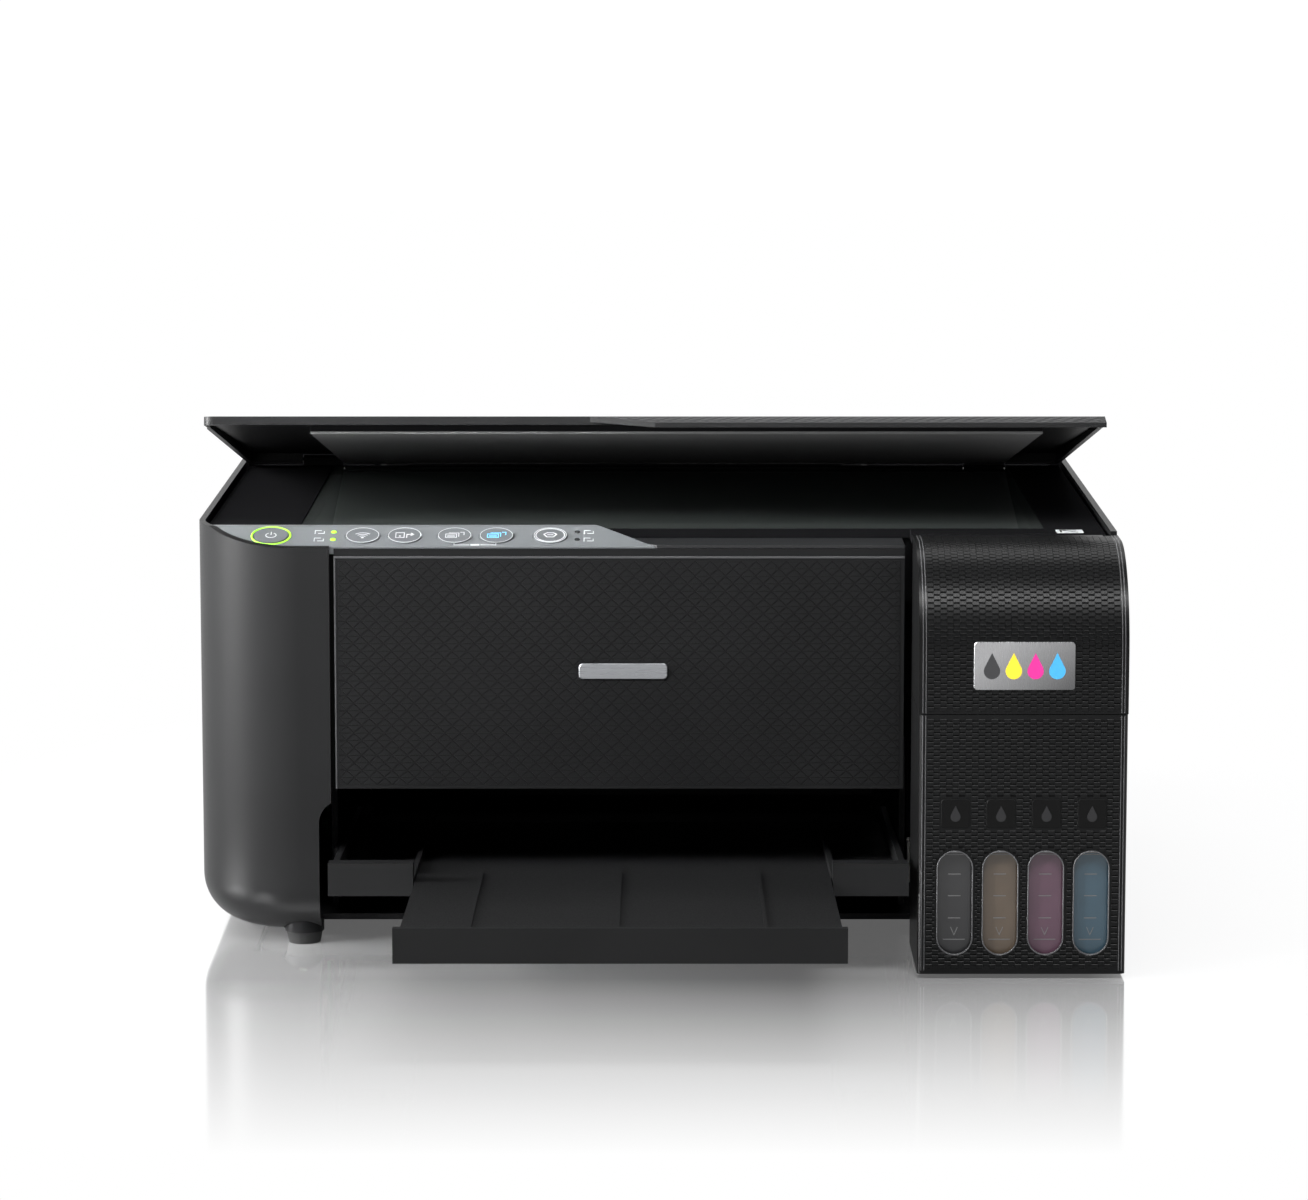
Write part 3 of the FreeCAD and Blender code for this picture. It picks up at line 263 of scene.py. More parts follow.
def spread(tree, source, low, high):
    """Maps a noise value, which lies mostly within the noise band, onto a range."""
    start, end = NOISE_BAND
    ranged = add(tree, "ShaderNodeMapRange", From_Min=start, From_Max=end, To_Min=low, To_Max=high)
    tree.links.new(source, ranged.inputs["Value"])
    return ranged.outputs["Result"]


def tinted(tree, factor, first, second):
    """A colour that runs from the first to the second."""
    mix = tree.nodes.new("ShaderNodeMix")
    mix.data_type = "RGBA"
    tree.links.new(factor, mix.inputs["Factor"])
    mix.inputs["A"].default_value = (*first, 1)
    mix.inputs["B"].default_value = (*second, 1)
    return mix.outputs["Result"]


def multiplied(tree, factor, first, second):
    """A colour multiplied by another, by as much as the factor says."""
    mix = tree.nodes.new("ShaderNodeMix")
    mix.data_type = "RGBA"
    mix.blend_type = "MULTIPLY"
    mix.inputs["Factor"].default_value = factor
    tree.links.new(first, mix.inputs["A"])
    tree.links.new(second, mix.inputs["B"])
    return mix.outputs["Result"]


def scaled(colour, factor):
    """A colour made lighter or darker."""
    return tuple(min(1.0, c * factor) for c in colour)


def noise(tree, size_mm, detail=2.0, stretch=(1, 1, 1)):
    """Noise whose features are about size_mm across, in object space."""
    place = tree.nodes.new("ShaderNodeTexCoord")
    mapping = tree.nodes.new("ShaderNodeMapping")
    mapping.inputs["Scale"].default_value = stretch
    tree.links.new(place.outputs["Object"], mapping.inputs["Vector"])
    texture = add(tree, "ShaderNodeTexNoise", Scale=1 / (size_mm * MM), Detail=detail)
    tree.links.new(mapping.outputs["Vector"], texture.inputs["Vector"])
    return texture.outputs["Fac"]


def bump(tree, shader, height, depth_mm, strength):
    """Fine surface relief from a height value."""
    relief = add(tree, "ShaderNodeBump", Strength=strength, Distance=depth_mm * MM)
    tree.links.new(height, relief.inputs["Height"])
    tree.links.new(relief.outputs["Normal"], shader.inputs["Normal"])


def moulded(name, colour, rough, grain_mm=0.5, grain_depth=0.02, variation=0.08, specular=0.25):
    """Moulded plastic: fine spark-eroded grain, slight patches in tone and in gloss."""
    material, tree, shader = new_material(name)
    patches = noise(tree, PATCH_SIZE, 3)
    tone = tinted(
        tree,
        spread(tree, patches, 0, 1),
        scaled(colour, 1 - variation),
        scaled(colour, 1 + variation),
    )
    tree.links.new(tone, shader.inputs["Base Color"])
    grain = noise(tree, grain_mm, 3)
    gloss = spread(tree, grain, rough - GLOSS_SPREAD, rough + GLOSS_SPREAD)
    tree.links.new(gloss, shader.inputs["Roughness"])
    bump(tree, shader, grain, grain_depth, 0.6)
    shader.inputs["Specular IOR Level"].default_value = specular
    return material


def metal(name, colour, rough, stretch=(0.02, 1, 1)):
    """Metal with brush lines along one axis."""
    material, tree, shader = new_material(name)
    lines = noise(tree, BRUSH_WIDTH, 2, stretch)
    tone = tinted(tree, lines, scaled(colour, 0.82), scaled(colour, 1.1))
    tree.links.new(tone, shader.inputs["Base Color"])
    tree.links.new(spread(tree, lines, rough - 0.08, rough + 0.1), shader.inputs["Roughness"])
    bump(tree, shader, lines, 0.004, 0.5)
    shader.inputs["Metallic"].default_value = 1.0
    return material


def label_material():
    """Silver foil with painted shade: it darkens from its upper left to its lower right."""
    material = metal("label_silver", (0.5, 0.5, 0.51), 0.28, (1, 1, 0.04))
    tree = material.node_tree
    colour = tree.nodes["Principled BSDF"].inputs["Base Color"]
    place = tree.nodes.new("ShaderNodeTexCoord")
    x, z, width, tall = LABEL
    across = tree.nodes.new("ShaderNodeVectorMath")
    across.operation = "DOT_PRODUCT"
    across.inputs[1].default_value = (1 / (width * MM), 0, -LABEL_SLOPE / (tall * MM))
    tree.links.new(place.outputs["Object"], across.inputs[0])
    corner = (x - width / 2) / width - LABEL_SLOPE * (z + tall / 2) / tall
    start, end = (corner + share for share in LABEL_SHADE_SPAN)
    shade = add(tree, "ShaderNodeMapRange", From_Min=start, From_Max=end, To_Min=1.0, To_Max=LABEL_DARKEST)
    tree.links.new(across.outputs["Value"], shade.inputs["Value"])
    shaded = multiplied(tree, 1.0, colour.links[0].from_socket, shade.outputs["Result"])
    tree.links.new(shaded, colour)
    return material


def glowing(name, colour, strength):
    """A lit marking: a translucent print with light behind it."""
    material, tree, shader = new_material(name)
    blotches = noise(tree, 1.6, 2)
    tone = tinted(tree, blotches, scaled(colour, 0.9), colour)
    tree.links.new(tone, shader.inputs["Base Color"])
    tree.links.new(tone, shader.inputs["Emission Color"])
    shader.inputs["Emission Strength"].default_value = strength
    shader.inputs["Roughness"].default_value = 0.4
    return material


def printed(name, colour, rough=0.45, specular=0.5):
    """A printed mark, with the slight unevenness of ink."""
    material, tree, shader = new_material(name)
    tone = tinted(tree, noise(tree, 0.8, 2), scaled(colour, 0.88), scaled(colour, 1.06))
    tree.links.new(tone, shader.inputs["Base Color"])
    shader.inputs["Roughness"].default_value = rough
    shader.inputs["Specular IOR Level"].default_value = specular
    return material


def glass_material():
    """Float glass: clear and smooth, with the faintest waviness."""
    material, tree, shader = new_material("float_glass")
    wave = noise(tree, 60, 1)
    tone = tinted(tree, wave, (0.12, 0.135, 0.13), (0.14, 0.155, 0.15))
    tree.links.new(tone, shader.inputs["Base Color"])
    shader.inputs["Transmission Weight"].default_value = 0.85
    shader.inputs["Roughness"].default_value = 0.03
    shader.inputs["IOR"].default_value = 1.03
    bump(tree, shader, wave, 0.01, 0.1)
    return material


def circuit_material():
    """Green solder mask with copper lines under it."""
    material, tree, shader = new_material("solder_mask")
    place = tree.nodes.new("ShaderNodeTexCoord")
    lines = add(tree, "ShaderNodeTexBrick", Scale=120.0)
    lines.inputs["Color1"].default_value = (0.012, 0.13, 0.05, 1)
    lines.inputs["Color2"].default_value = (0.016, 0.16, 0.065, 1)
    lines.inputs["Mortar"].default_value = (0.05, 0.3, 0.12, 1)
    swap = add(tree, "ShaderNodeMapping")
    swap.inputs["Rotation"].default_value = (math.pi / 2, 0, math.pi / 2)
    tree.links.new(place.outputs["Object"], swap.inputs["Vector"])
    tree.links.new(swap.outputs["Vector"], lines.inputs["Vector"])
    tree.links.new(lines.outputs["Color"], shader.inputs["Base Color"])
    shader.inputs["Roughness"].default_value = 0.35
    bump(tree, shader, lines.outputs["Fac"], 0.03, 0.5)
    return material


def felt_material():
    """Pressed wool felt, for the waste ink pad."""
    material, tree, shader = new_material("pressed_felt")
    fibres = noise(tree, 0.7, 5)
    tone = tinted(tree, fibres, (0.62, 0.6, 0.55), (0.86, 0.85, 0.82))
    tree.links.new(tone, shader.inputs["Base Color"])
    shader.inputs["Roughness"].default_value = 0.95
    shader.inputs["Sheen Weight"].default_value = 0.3
    bump(tree, shader, fibres, 0.25, 0.8)
    return material


def ink_material():
    """The four bottles' resin: one tint for each ink, a little cloudy."""
    material, tree, shader = new_material("tank_resin")
    place = tree.nodes.new("ShaderNodeTexCoord")
    split = tree.nodes.new("ShaderNodeSeparateXYZ")
    tree.links.new(place.outputs["Object"], split.inputs[0])
    left, right = (v * MM for v in edges_of("ink_tanks")[0])
    ranged = add(tree, "ShaderNodeMapRange", From_Min=left, From_Max=right)
    tree.links.new(split.outputs["X"], ranged.inputs["Value"])
    ramp = tree.nodes.new("ShaderNodeValToRGB")
    ramp.color_ramp.interpolation = "CONSTANT"
    ramp.color_ramp.elements.remove(ramp.color_ramp.elements[1])
    for index, colour in enumerate(INK_TINTS):
        if index:
            ramp.color_ramp.elements.new(index / len(INK_TINTS))
        ramp.color_ramp.elements[index].color = (*colour, 1)
    tree.links.new(ranged.outputs["Result"], ramp.inputs["Fac"])
    clouds = noise(tree, 9, 3)
    cloudy = multiplied(tree, 0.3, ramp.outputs["Color"], clouds)
    tree.links.new(cloudy, shader.inputs["Base Color"])
    shader.inputs["Roughness"].default_value = 0.28
    shader.inputs["Coat Weight"].default_value = 0.3
    shader.inputs["Coat Roughness"].default_value = 0.15
    bump(tree, shader, clouds, 0.05, 0.3)
    return material


def make_materials():
    """Every material of the printer, by a short key."""
    return {
        "case": moulded("case_grain", scaled(DARK, 0.72), 0.42, 0.55, 0.03, specular=0.16),
        "tank": moulded("tank_grain", scaled(DARK, 0.42), 0.34, 0.6, 0.02, specular=0.13),
        "door": moulded("door_grain", scaled(DARK, 0.72), 0.38, 0.6, 0.015, specular=0.1),
        "cover": moulded("cover_grain", scaled(DARK, 0.9), 0.45, 0.5, 0.03, specular=0.16),
        "cover_bar": moulded("cover_bar", scaled(DARK, 2.4), 0.4, 0.5, 0.01),
        "ledge": moulded("ledge_satin", (0.0165, 0.017, 0.0178), 0.34, 0.5, 0.008),
        "panel": moulded("panel_satin", (0.105, 0.112, 0.117), 0.36, 0.4, 0.008, 0.04, 0.5),
        "button": moulded("button_satin", (0.085, 0.091, 0.096), 0.36, 0.4, 0.006, 0.04, 0.5),
        "inner": moulded("inner_black", (0.006, 0.006, 0.0065), 0.5, 0.8, 0.03, specular=0.08),
        "deck": moulded("deck_grain", (0.006, 0.006, 0.0065), 0.5, 0.5, 0.02, specular=0.0),
        "mat": moulded("mat_sheet", (0.26, 0.26, 0.262), 0.42, 0.9, 0.04, 0.015),
        "rubber": moulded("foot_rubber", (0.012, 0.012, 0.012), 0.8, 0.35, 0.05, 0.15, 0.3),
        "roller": moulded("roller_rubber", (0.035, 0.035, 0.038), 0.75, 0.3, 0.06, 0.12, 0.3),
        "nylon": moulded("gear_nylon", (0.72, 0.71, 0.66), 0.45, 0.6, 0.015, 0.04),
        "belt": moulded("belt_rubber", (0.015, 0.015, 0.015), 0.85, 0.25, 0.05, 0.15, 0.3),
        "tube": moulded("tube_resin", (0.42, 0.43, 0.44), 0.25, 1.2, 0.01),
        "steel": metal("plated_steel", (0.6, 0.61, 0.63), 0.3),
        "can": metal("motor_can", (0.5, 0.5, 0.49), 0.35, (1, 1, 0.05)),
        "glass": glass_material(),
        "board": circuit_material(),
        "felt": felt_material(),
        "ink": ink_material(),
        "grey_print": printed("grey_print", (0.5, 0.52, 0.53)),
        "pale_print": printed("pale_print", (0.5, 0.52, 0.53)),
        "dark_print": printed("dark_print", (0.003, 0.003, 0.003), 0.5, 0.1),
        # near-black painted shade under the door's grooves
        "groove": moulded("groove_painted_shade", (0.0035, 0.0035, 0.0036), 0.7, 0.8, 0.03, specular=0.1),
        # pale band of painted highlight along the bottom of the pad's front
        "mat_edge_highlight": moulded("mat_edge_highlight", (0.24, 0.24, 0.24), 0.4, 0.5, 0.005),
        # near-black painted shade for the weave's slot floors and for the gap beside the door
        "slot": moulded("slot_painted_shade", (0.0025, 0.0025, 0.0025), 0.8, 0.8, 0.03, 0.08, 0.05),
        "window_lip": moulded("window_lip", (0.075, 0.075, 0.078), 0.3, 0.5, 0.005),
        "level_mark": printed("level_mark", (0.12, 0.12, 0.12), 0.4),
        # painted highlight on the door's top and left edges
        "edge_highlight": moulded("edge_highlight", (0.05, 0.051, 0.053), 0.34, 0.5, 0.005),
        "tag_mark": printed("tag_mark", (0.02, 0.02, 0.021), 0.5, 0.15),
        "green_light": glowing("green_light", (0.25, 0.62, 0.03), 0.85),
        "blue_light": glowing("blue_light", (0.12, 0.45, 0.75), 0.8),
        "dark_light": printed("dark_light", (0.02, 0.021, 0.022), 0.2),
        "badge": metal("badge_metal", (0.42, 0.43, 0.45), 0.3),
        "label": label_material(),
    }


NODE_MATERIALS = {
    "case": "left_side_cover right_side_cover rear_cover paper_support output_tray tray_extension",
    "deck": "scanner_bezel rear_deck feeder_guard",
    "tank": "tank_housing tank_cover",
    "door": "front_panel",
    "ledge": "front_ledge",
    "cover": "document_cover",
    "panel": "control_panel",
    "button": "power_button wireless_button status_button copy_mono_button copy_colour_button stop_button",
    "glass": "scanner_glass",
    "mat": "document_mat",
    "rubber": "rubber_feet",
    "roller": "feed_roller eject_roller pickup_roller pinch_rollers",
    "nylon": "idler_gear feed_pinion motor_pulley idler_pulley",
    "belt": "carriage_belt",
    "tube": "ink_tubes",
    "steel": "scan_rail carriage_frame cover_screws star_wheels",
    "can": "drive_motors",
    "board": "circuit_boards",
    "felt": "waste_ink_pad",
    "ink": "ink_tanks",
}


def paint_nodes(materials):
    """Gives every CAD node its material; whatever isn't listed is black inner plastic."""
    chosen = {name: key for key, names in NODE_MATERIALS.items() for name in names.split()}
    for name, node in nodes.items():
        node.data.materials.clear()
        node.data.materials.append(materials[chosen.get(name, "inner")])


# ---------------------------------------------------------------- tank unit


WINDOW_WIDTH = 14.2
WINDOW_LOW = 9.7
WINDOW_HIGH = 51.9
TAG_SIZE = 11.4
TAG_MIDDLE = 66.9
BAR_WIDTH = 2.5
BAR_PITCH = 2.3
BAR_HEIGHT = 1.8
BAR_RELIEF = 0.24
BAR_CHAMFER = 0.16
WEAVE_MARGIN = 3.3
WEAVE_CLEARANCE = 0.9
SIDE_CLEARANCE = 0.3
PILLOW_GAP = 0.03
SLOT_INSET = 0.1
SLOT_OVERLAP = 0.12
SINK = 0.15
SHOULDER_RADIUS = 40.0
LID_FLAT = 12.5
LIP_WIDTH = 0.5
MARK_LEVELS = (11.1, 2.3, -6.7)
# level and half length of the two end lines, from the window's middle
FULL_LINE = (19.0, 4.9)
EMPTY_LINE = (-15.4, 4.2)
# middle from side to side, middle height, width and height
LABEL = (146.2, 126.2, 40.0, 19.2)
LABEL_DROP_PITCH = 8.6
DROP_INKS = {
    "black": (0.03, 0.03, 0.032),
    "yellow": (0.85, 0.62, 0.03),
    "magenta": (0.62, 0.02, 0.25),
    "cyan": (0.05, 0.35, 0.66),
}


def window_xs():
    """Centre lines of the four windows, from the four filler caps."""
    return [sum(edges_of(f"cap_{ink}")[0]) / 2 for ink in DROP_INKS]


def tank_path(height):
    """The place and facing at a length measured up the tank unit's front and over its shoulder."""
    top = edges_of("tank_cover")[2][1]
    radius = SHOULDER_RADIUS
    bend = top - radius
    if height <= bend:
        return (0.0, height), (-1.0, 0.0)
    turned = (height - bend) / radius
    if turned <= math.pi / 2:
        return (
            (radius - radius * math.cos(turned), bend + radius * math.sin(turned)),
            (-math.cos(turned), math.sin(turned)),
        )
    return (radius + height - bend - radius * math.pi / 2, top), (0.0, 1.0)


def blocked_spans(height):
    """Stretches of a row that a window, tag or label takes."""
    spans = []
    half = WINDOW_WIDTH / 2
    rim = half + WEAVE_CLEARANCE
    low = WINDOW_LOW + half
    high = WINDOW_HIGH - half
    for x in window_xs():
        off = max(low - height, 0, height - high)
        if off < rim:
            reach = math.sqrt(rim * rim - off * off)
            spans.append((x - reach, x + reach))
        if abs(height - TAG_MIDDLE) < TAG_SIZE / 2 + WEAVE_CLEARANCE:
            reach = TAG_SIZE / 2 + SIDE_CLEARANCE
            spans.append((x - reach, x + reach))
    x, z, width, tall = LABEL
    if abs(height - z) < tall / 2 + WEAVE_CLEARANCE:
        spans.append((x - width / 2 - SIDE_CLEARANCE, x + width / 2 + SIDE_CLEARANCE))
    return spans


def open_parts(start, end, spans):
    """What is left of a stretch once the blocked spans are taken out; short scraps are dropped."""
    shortest = 0.5
    parts = [(start, end)]
    for low, high in spans:
        cut = []
        for a, b in parts:
            if high <= a or low >= b:
                cut.append((a, b))
                continue
            if low - a > shortest:
                cut.append((a, low))
            if b - high > shortest:
                cut.append((high, b))
        parts = cut
    return parts


def woven_relief(name, low, high, body, materials):
    """Basket weave: columns of low pillows with dark slots between, each half a step off the last; the
    slots' dark floors are painted shade.
    """
    (left, right), _, _ = edges_of("tank_housing")
    width = right - left - 2 * WEAVE_MARGIN
    columns = int(width / BAR_WIDTH)
    step = width / columns
    pillows = Solids()
    slot_shades = Solids()
    for column in range(columns):
        x0 = left + WEAVE_MARGIN + column * step
        x1 = x0 + step
        shift = BAR_PITCH / 2 if column % 2 else 0.0
        row = low + shift + BAR_HEIGHT / 2
        while row + BAR_HEIGHT / 2 <= high:
            for a, b in open_parts(x0 + PILLOW_GAP, x1 - PILLOW_GAP, blocked_spans(row)):
                add_pillow(pillows, a, b, row)
            middle = row + BAR_PITCH / 2
            if middle + BAR_PITCH / 2 <= high:
                for a, b in open_parts(x0 + SLOT_INSET, x1 - SLOT_INSET, blocked_spans(middle)):
                    add_slot_shade(slot_shades, a, b, middle)
            row += BAR_PITCH
    pillows.piece(f"{name}_pillows", materials["tank"], body)
    slot_shades.piece(f"{name}_slots", materials["slot"], body)


def on_path(x, height, out):
    """A point that stands off the tank unit's front by out."""
    (y, z), (face_y, face_z) = tank_path(height)
    return at(x, y + face_y * out, z + face_z * out)


def add_slot_shade(solids, x0, x1, middle):
    """A dark plate of painted shade on the floor of the slot between two pillows."""
    reach = (BAR_PITCH - BAR_HEIGHT) / 2 + SLOT_OVERLAP
    corners = ((x0, -reach), (x1, -reach), (x1, reach), (x0, reach))
    solids.stack([[on_path(x, middle + up, out) for x, up in corners] for out in (-SINK, 0.05)])


def add_pillow(solids, x0, x1, row):
    """One raised bar of the weave; its top is narrower than its foot."""
    rings = []
    for out, inset in ((-SINK, 0.0), (BAR_RELIEF * 0.45, 0.0), (BAR_RELIEF, BAR_CHAMFER)):
        a, b = x0 + inset * 0.4, x1 - inset * 0.4
        reach = BAR_HEIGHT / 2 - inset
        corners = ((a, -reach), (b, -reach), (b, reach), (a, reach))
        rings.append([on_path(x, row + up, out) for x, up in corners])
    solids.stack(rings)


def border_lines(name, low, high, body, material):
    """Two fine beads down each side of the weave."""
    (left, right), _, _ = edges_of("tank_housing")
    half = 0.22
    solids = Solids()
    for middle in (left + 1.5, left + 2.7, right - 2.7, right - 1.5):
        add_bead(solids, middle - half, middle + half, low, high)
    solids.piece(name, material, body)


def add_bead(solids, x0, x1, low, high):
    """A thin raised line that runs up the tank unit's front, in short steps."""
    step = 3
    steps = max(2, int((high - low) / step))
    rows = []
    for i in range(steps + 1):
        height = low + (high - low) * i / steps
        corners = ((x0, -0.2), (x1, -0.2), (x1 - 0.1, 0.2), (x0 + 0.1, 0.2))
        rows.append([on_path(x, height, out) for x, out in corners])
    solids.stack(rows)


def tank_weave(materials):
    """The weave and its side beads, below the seam on the housing and above it on the tank cover."""
    foot = edges_of("tank_housing")[2][0] + 1.4
    seam, top = edges_of("tank_cover")[2]
    end = top - SHOULDER_RADIUS + SHOULDER_RADIUS * math.pi / 2 + LID_FLAT
    woven_relief("housing_weave", foot + 0.8, seam - 1.2, "case", materials)
    woven_relief("lid_weave", seam + 1.0, end, "tank_cover", materials)
    border_lines("housing_borders", foot, seam - 0.6, "case", materials["window_lip"])
    border_lines("lid_borders", seam + 0.4, end + 1, "tank_cover", materials["window_lip"])


def front_sheet(x, z, y=0.0):
    """A drawing place on an upright face that looks to the front."""
    return Sheet(at(x, y, z), Vector((1, 0, 0)), Vector((0, 0, 1)))


def window_outline(growth):
    """A window's outline, made wider and taller by growth."""
    width = WINDOW_WIDTH + growth
    return rounded(width, WINDOW_HIGH - WINDOW_LOW + growth, width / 2, 12)


def tank_windows(materials):
    """A bright lip round each window and the level marks on the bottle behind it."""
    lips = Solids()
    marks = Solids()
    middle = (WINDOW_LOW + WINDOW_HIGH) / 2
    bottle_front = edges_of("ink_tanks")[1][0]
    outer = window_outline(0.3)
    inner = window_outline(0.3 - 2 * LIP_WIDTH)
    crescent = [point for point in window_outline(-0.2) if point[1] > FULL_LINE[0] + 0.4]
    for x in window_xs():
        lips.ring(front_sheet(x, middle), outer, inner, -0.9, 0.3, 0.15)
        bottle = front_sheet(x, middle, bottle_front)
        for level in MARK_LEVELS:
            marks.stroke(bottle, [(-2.3, level), (2.3, level)], 0.35, -0.1, 0.15)
        for level, reach in (FULL_LINE, EMPTY_LINE):
            marks.stroke(bottle, [(-reach, level), (reach, level)], 0.3, -0.1, 0.15)
        marks.stroke(bottle, [(-1.3, -10.6), (0, -13.6), (1.3, -10.6)], 0.3, -0.1, 0.15)
        marks.plate(bottle, crescent, -0.1, 0.1)
    lips.piece("window_lips", materials["window_lip"], "case", True)
    marks.piece("level_marks", materials["level_mark"], "case")


def tank_tags(materials):
    """A dark square tag over each window, with a plain ink drop on it."""
    plates = Solids()
    drops = Solids()
    for x in window_xs():
        sheet = front_sheet(x, TAG_MIDDLE)
        plates.plate(sheet, rounded(TAG_SIZE, TAG_SIZE, 1.2), -SINK, 0.3, 0.12)
        drops.plate(sheet, drop(6.4), 0.25, 0.38)
    plates.piece("ink_tags", materials["dark_print"], "case")
    drops.piece("ink_tag_drops", materials["tag_mark"], "case")


def tank_label(materials):
    """The silver plate on the tank cover, with a row of plain ink drops."""
    x, z, width, tall = LABEL
    sheet = front_sheet(x, z)
    plate = Solids()
    plate.plate(sheet, rounded(width, tall, 1.4), -SINK, 0.42, 0.15)
    plate.piece("label_plate", materials["label"], "tank_cover")
    for index, (name, colour) in enumerate(DROP_INKS.items()):
        mark = Solids()
        mark.plate(sheet, drop(10.5, LABEL_DROP_PITCH * (index - 1.5)), 0.36, 0.5)
        ink = printed(f"{name}_print", colour, 0.35)
        mark.piece(f"label_drop_{name}", ink, "tank_cover")


# ---------------------------------------------------------------- front door


LATTICE_PITCH = 6.1
GROOVE = 0.13
LATTICE_RELIEF = 0.14
LATTICE_SINK = 0.12
LATTICE_MARGIN = 1.6
DOOR_LIP = 3.4
FACET_SLOPE = 0.12
SMALLEST_FACET = 0.6
BADGE_MIDDLE = (-12.5, 115.0)
BADGE_SIZE = (35.9, 6.4)


def door_lattice(materials):
    """Low triangular facets with fine grooves between them, over the whole door, with a dark plate of
    painted shade under the grooves.
    """
    (left, right), (front, _), (low, high) = edges_of("front_panel")
    left, right = left + LATTICE_MARGIN, right - LATTICE_MARGIN
    low, high = low + LATTICE_MARGIN, high - LATTICE_MARGIN - DOOR_LIP
    rows = int((high - low) / (LATTICE_PITCH / 2))
    tall = (high - low) / rows
    columns = int((right - left) / LATTICE_PITCH)
    wide = (right - left) / columns
    sheet = front_sheet(0, 0, front)
    solids = Solids()
    for row in range(rows):
        z0 = low + row * tall
        offset = 0.0 if row % 2 else wide / 2
        for column in range(-1, columns + 1):
            x0 = left + column * wide + offset
            up = [(x0, z0), (x0 + wide, z0), (x0 + wide / 2, z0 + tall)]
            down = [(x0 + wide, z0), (x0 + wide * 1.5, z0 + tall), (x0 + wide / 2, z0 + tall)]
            for corners in (up, down):
                add_facet(solids, sheet, clipped(corners, left, right))
    solids.piece("door_lattice", materials["door"], "case")
    # dark plate of painted shade that shows through the grooves
    bed = Solids()
    bed.plate(sheet, oblong(left, right, low, high), -0.1, 0.02)
    bed.piece("door_groove_shade", materials["groove"], "case")


def gap_shade_strip(materials):
    """A black strip of painted shade behind the gap between the left casing and the door."""
    (door, _), (front, _), (low, high) = edges_of("front_panel")
    behind = front + 3.4
    strip = Solids()
    strip.plate(front_sheet(0, 0, behind), oblong(door - 7, door + 1.5, low, high - 2.7), 0.0, 0.5)
    strip.piece("gap_shade_strip", materials["slot"], "case")


def clipped(corners, left, right):
    """A triangle cut at the lattice's left and right sides."""
    for keep, edge in ((1, left), (-1, right)):
        kept = []
        for (ax, az), (bx, bz) in zip(corners, corners[1:] + corners[:1]):
            a_in = (ax - edge) * keep >= 0
            b_in = (bx - edge) * keep >= 0
            if a_in:
                kept.append((ax, az))
            if a_in != b_in:
                share = (edge - ax) / (bx - ax)
                kept.append((edge, az + (bz - az) * share))
        corners = kept
        if len(corners) < 3:
            return []
    return corners


def add_facet(solids, sheet, corners):
    """One raised facet with sloped sides, drawn in a little from its cell."""
    if not corners or area(corners) < SMALLEST_FACET:
        return
    middle_x = sum(a for a, b in corners) / len(corners)
    middle_z = sum(b for a, b in corners) / len(corners)
    rings = []
    for out, inset in ((-LATTICE_SINK, GROOVE), (LATTICE_RELIEF, GROOVE + FACET_SLOPE)):
        ring = []
        for a, b in corners:
            away, above = a - middle_x, b - middle_z
            share = max(0.2, 1 - inset * 2 / math.hypot(away, above))
            ring.append(sheet.point(middle_x + away * share, middle_z + above * share, out))
        rings.append(ring)
    solids.stack(rings)


def area(corners):
    """The area of a polygon."""
    return abs(
        sum(ax * bz - bx * az for (ax, az), (bx, bz) in zip(corners, corners[1:] + corners[:1]))
    ) / 2


def door_edges(materials):
    """Thin beads along the door's top and left edges, a little lighter than the door: painted highlight
    where these edges catch the light.
    """
    (left, right), (front, _), (low, high) = edges_of("front_panel")
    sheet = front_sheet(0, 0, front)
    solids = Solids()
    top = high - 3.1
    solids.plate(sheet, oblong(left, left + 0.7, low, top), -0.1, 0.3, 0.1)
    solids.plate(sheet, oblong(left, right, top - 0.9, top), -0.1, 0.45, 0.15)
    solids.piece("door_edge_highlights", materials["edge_highlight"], "case")


def door_badge(materials):
    """A plain brushed bar in the middle of the door, in place of a name."""
    _, (front, _), _ = edges_of("front_panel")
    solids = Solids()
    solids.plate(front_sheet(*BADGE_MIDDLE, front), rounded(*BADGE_SIZE, 1.6), 0.0, 0.9, 0.25)
    solids.piece("door_badge", materials["badge"], "case")


# ---------------------------------------------------------------- document cover


COVER_AJAR = math.radians(10)
COVER_AXIS = (303.0, 172.5)
# depth and height of the front flange's lower and upper edge, with the cover closed
FLANGE_LOW = (68.0, 173.9)
FLANGE_HIGH = (76.0, 177.0)
# where the bars begin, at the lower and at the upper edge
FLANGE_BARS = (0.4, -26.0)
COVER_ROWS = 4
MAT_FRONT = (82.2, 170.5)
# height bands on the pad's front: painted shade on the face, painted highlight along its bottom
MAT_FACE = (0.7, 4.2)
MAT_HIGHLIGHT_BAND = (-0.15, 0.35)


def cover_sheet(x, y, z, up_y, up_z):
    """A drawing place given on the closed cover and turned up to where the cover stands."""
    sine, cosine = math.sin(-COVER_AJAR), math.cos(COVER_AJAR)
    away, above = y - COVER_AXIS[0], z - COVER_AXIS[1]
    middle = at(
        x,
        COVER_AXIS[0] + away * cosine - above * sine,
        COVER_AXIS[1] + away * sine + above * cosine,
    )
    up = Vector((0, up_y * cosine - up_z * sine, up_y * sine + up_z * cosine))
    return Sheet(middle, Vector((1, 0, 0)), up)


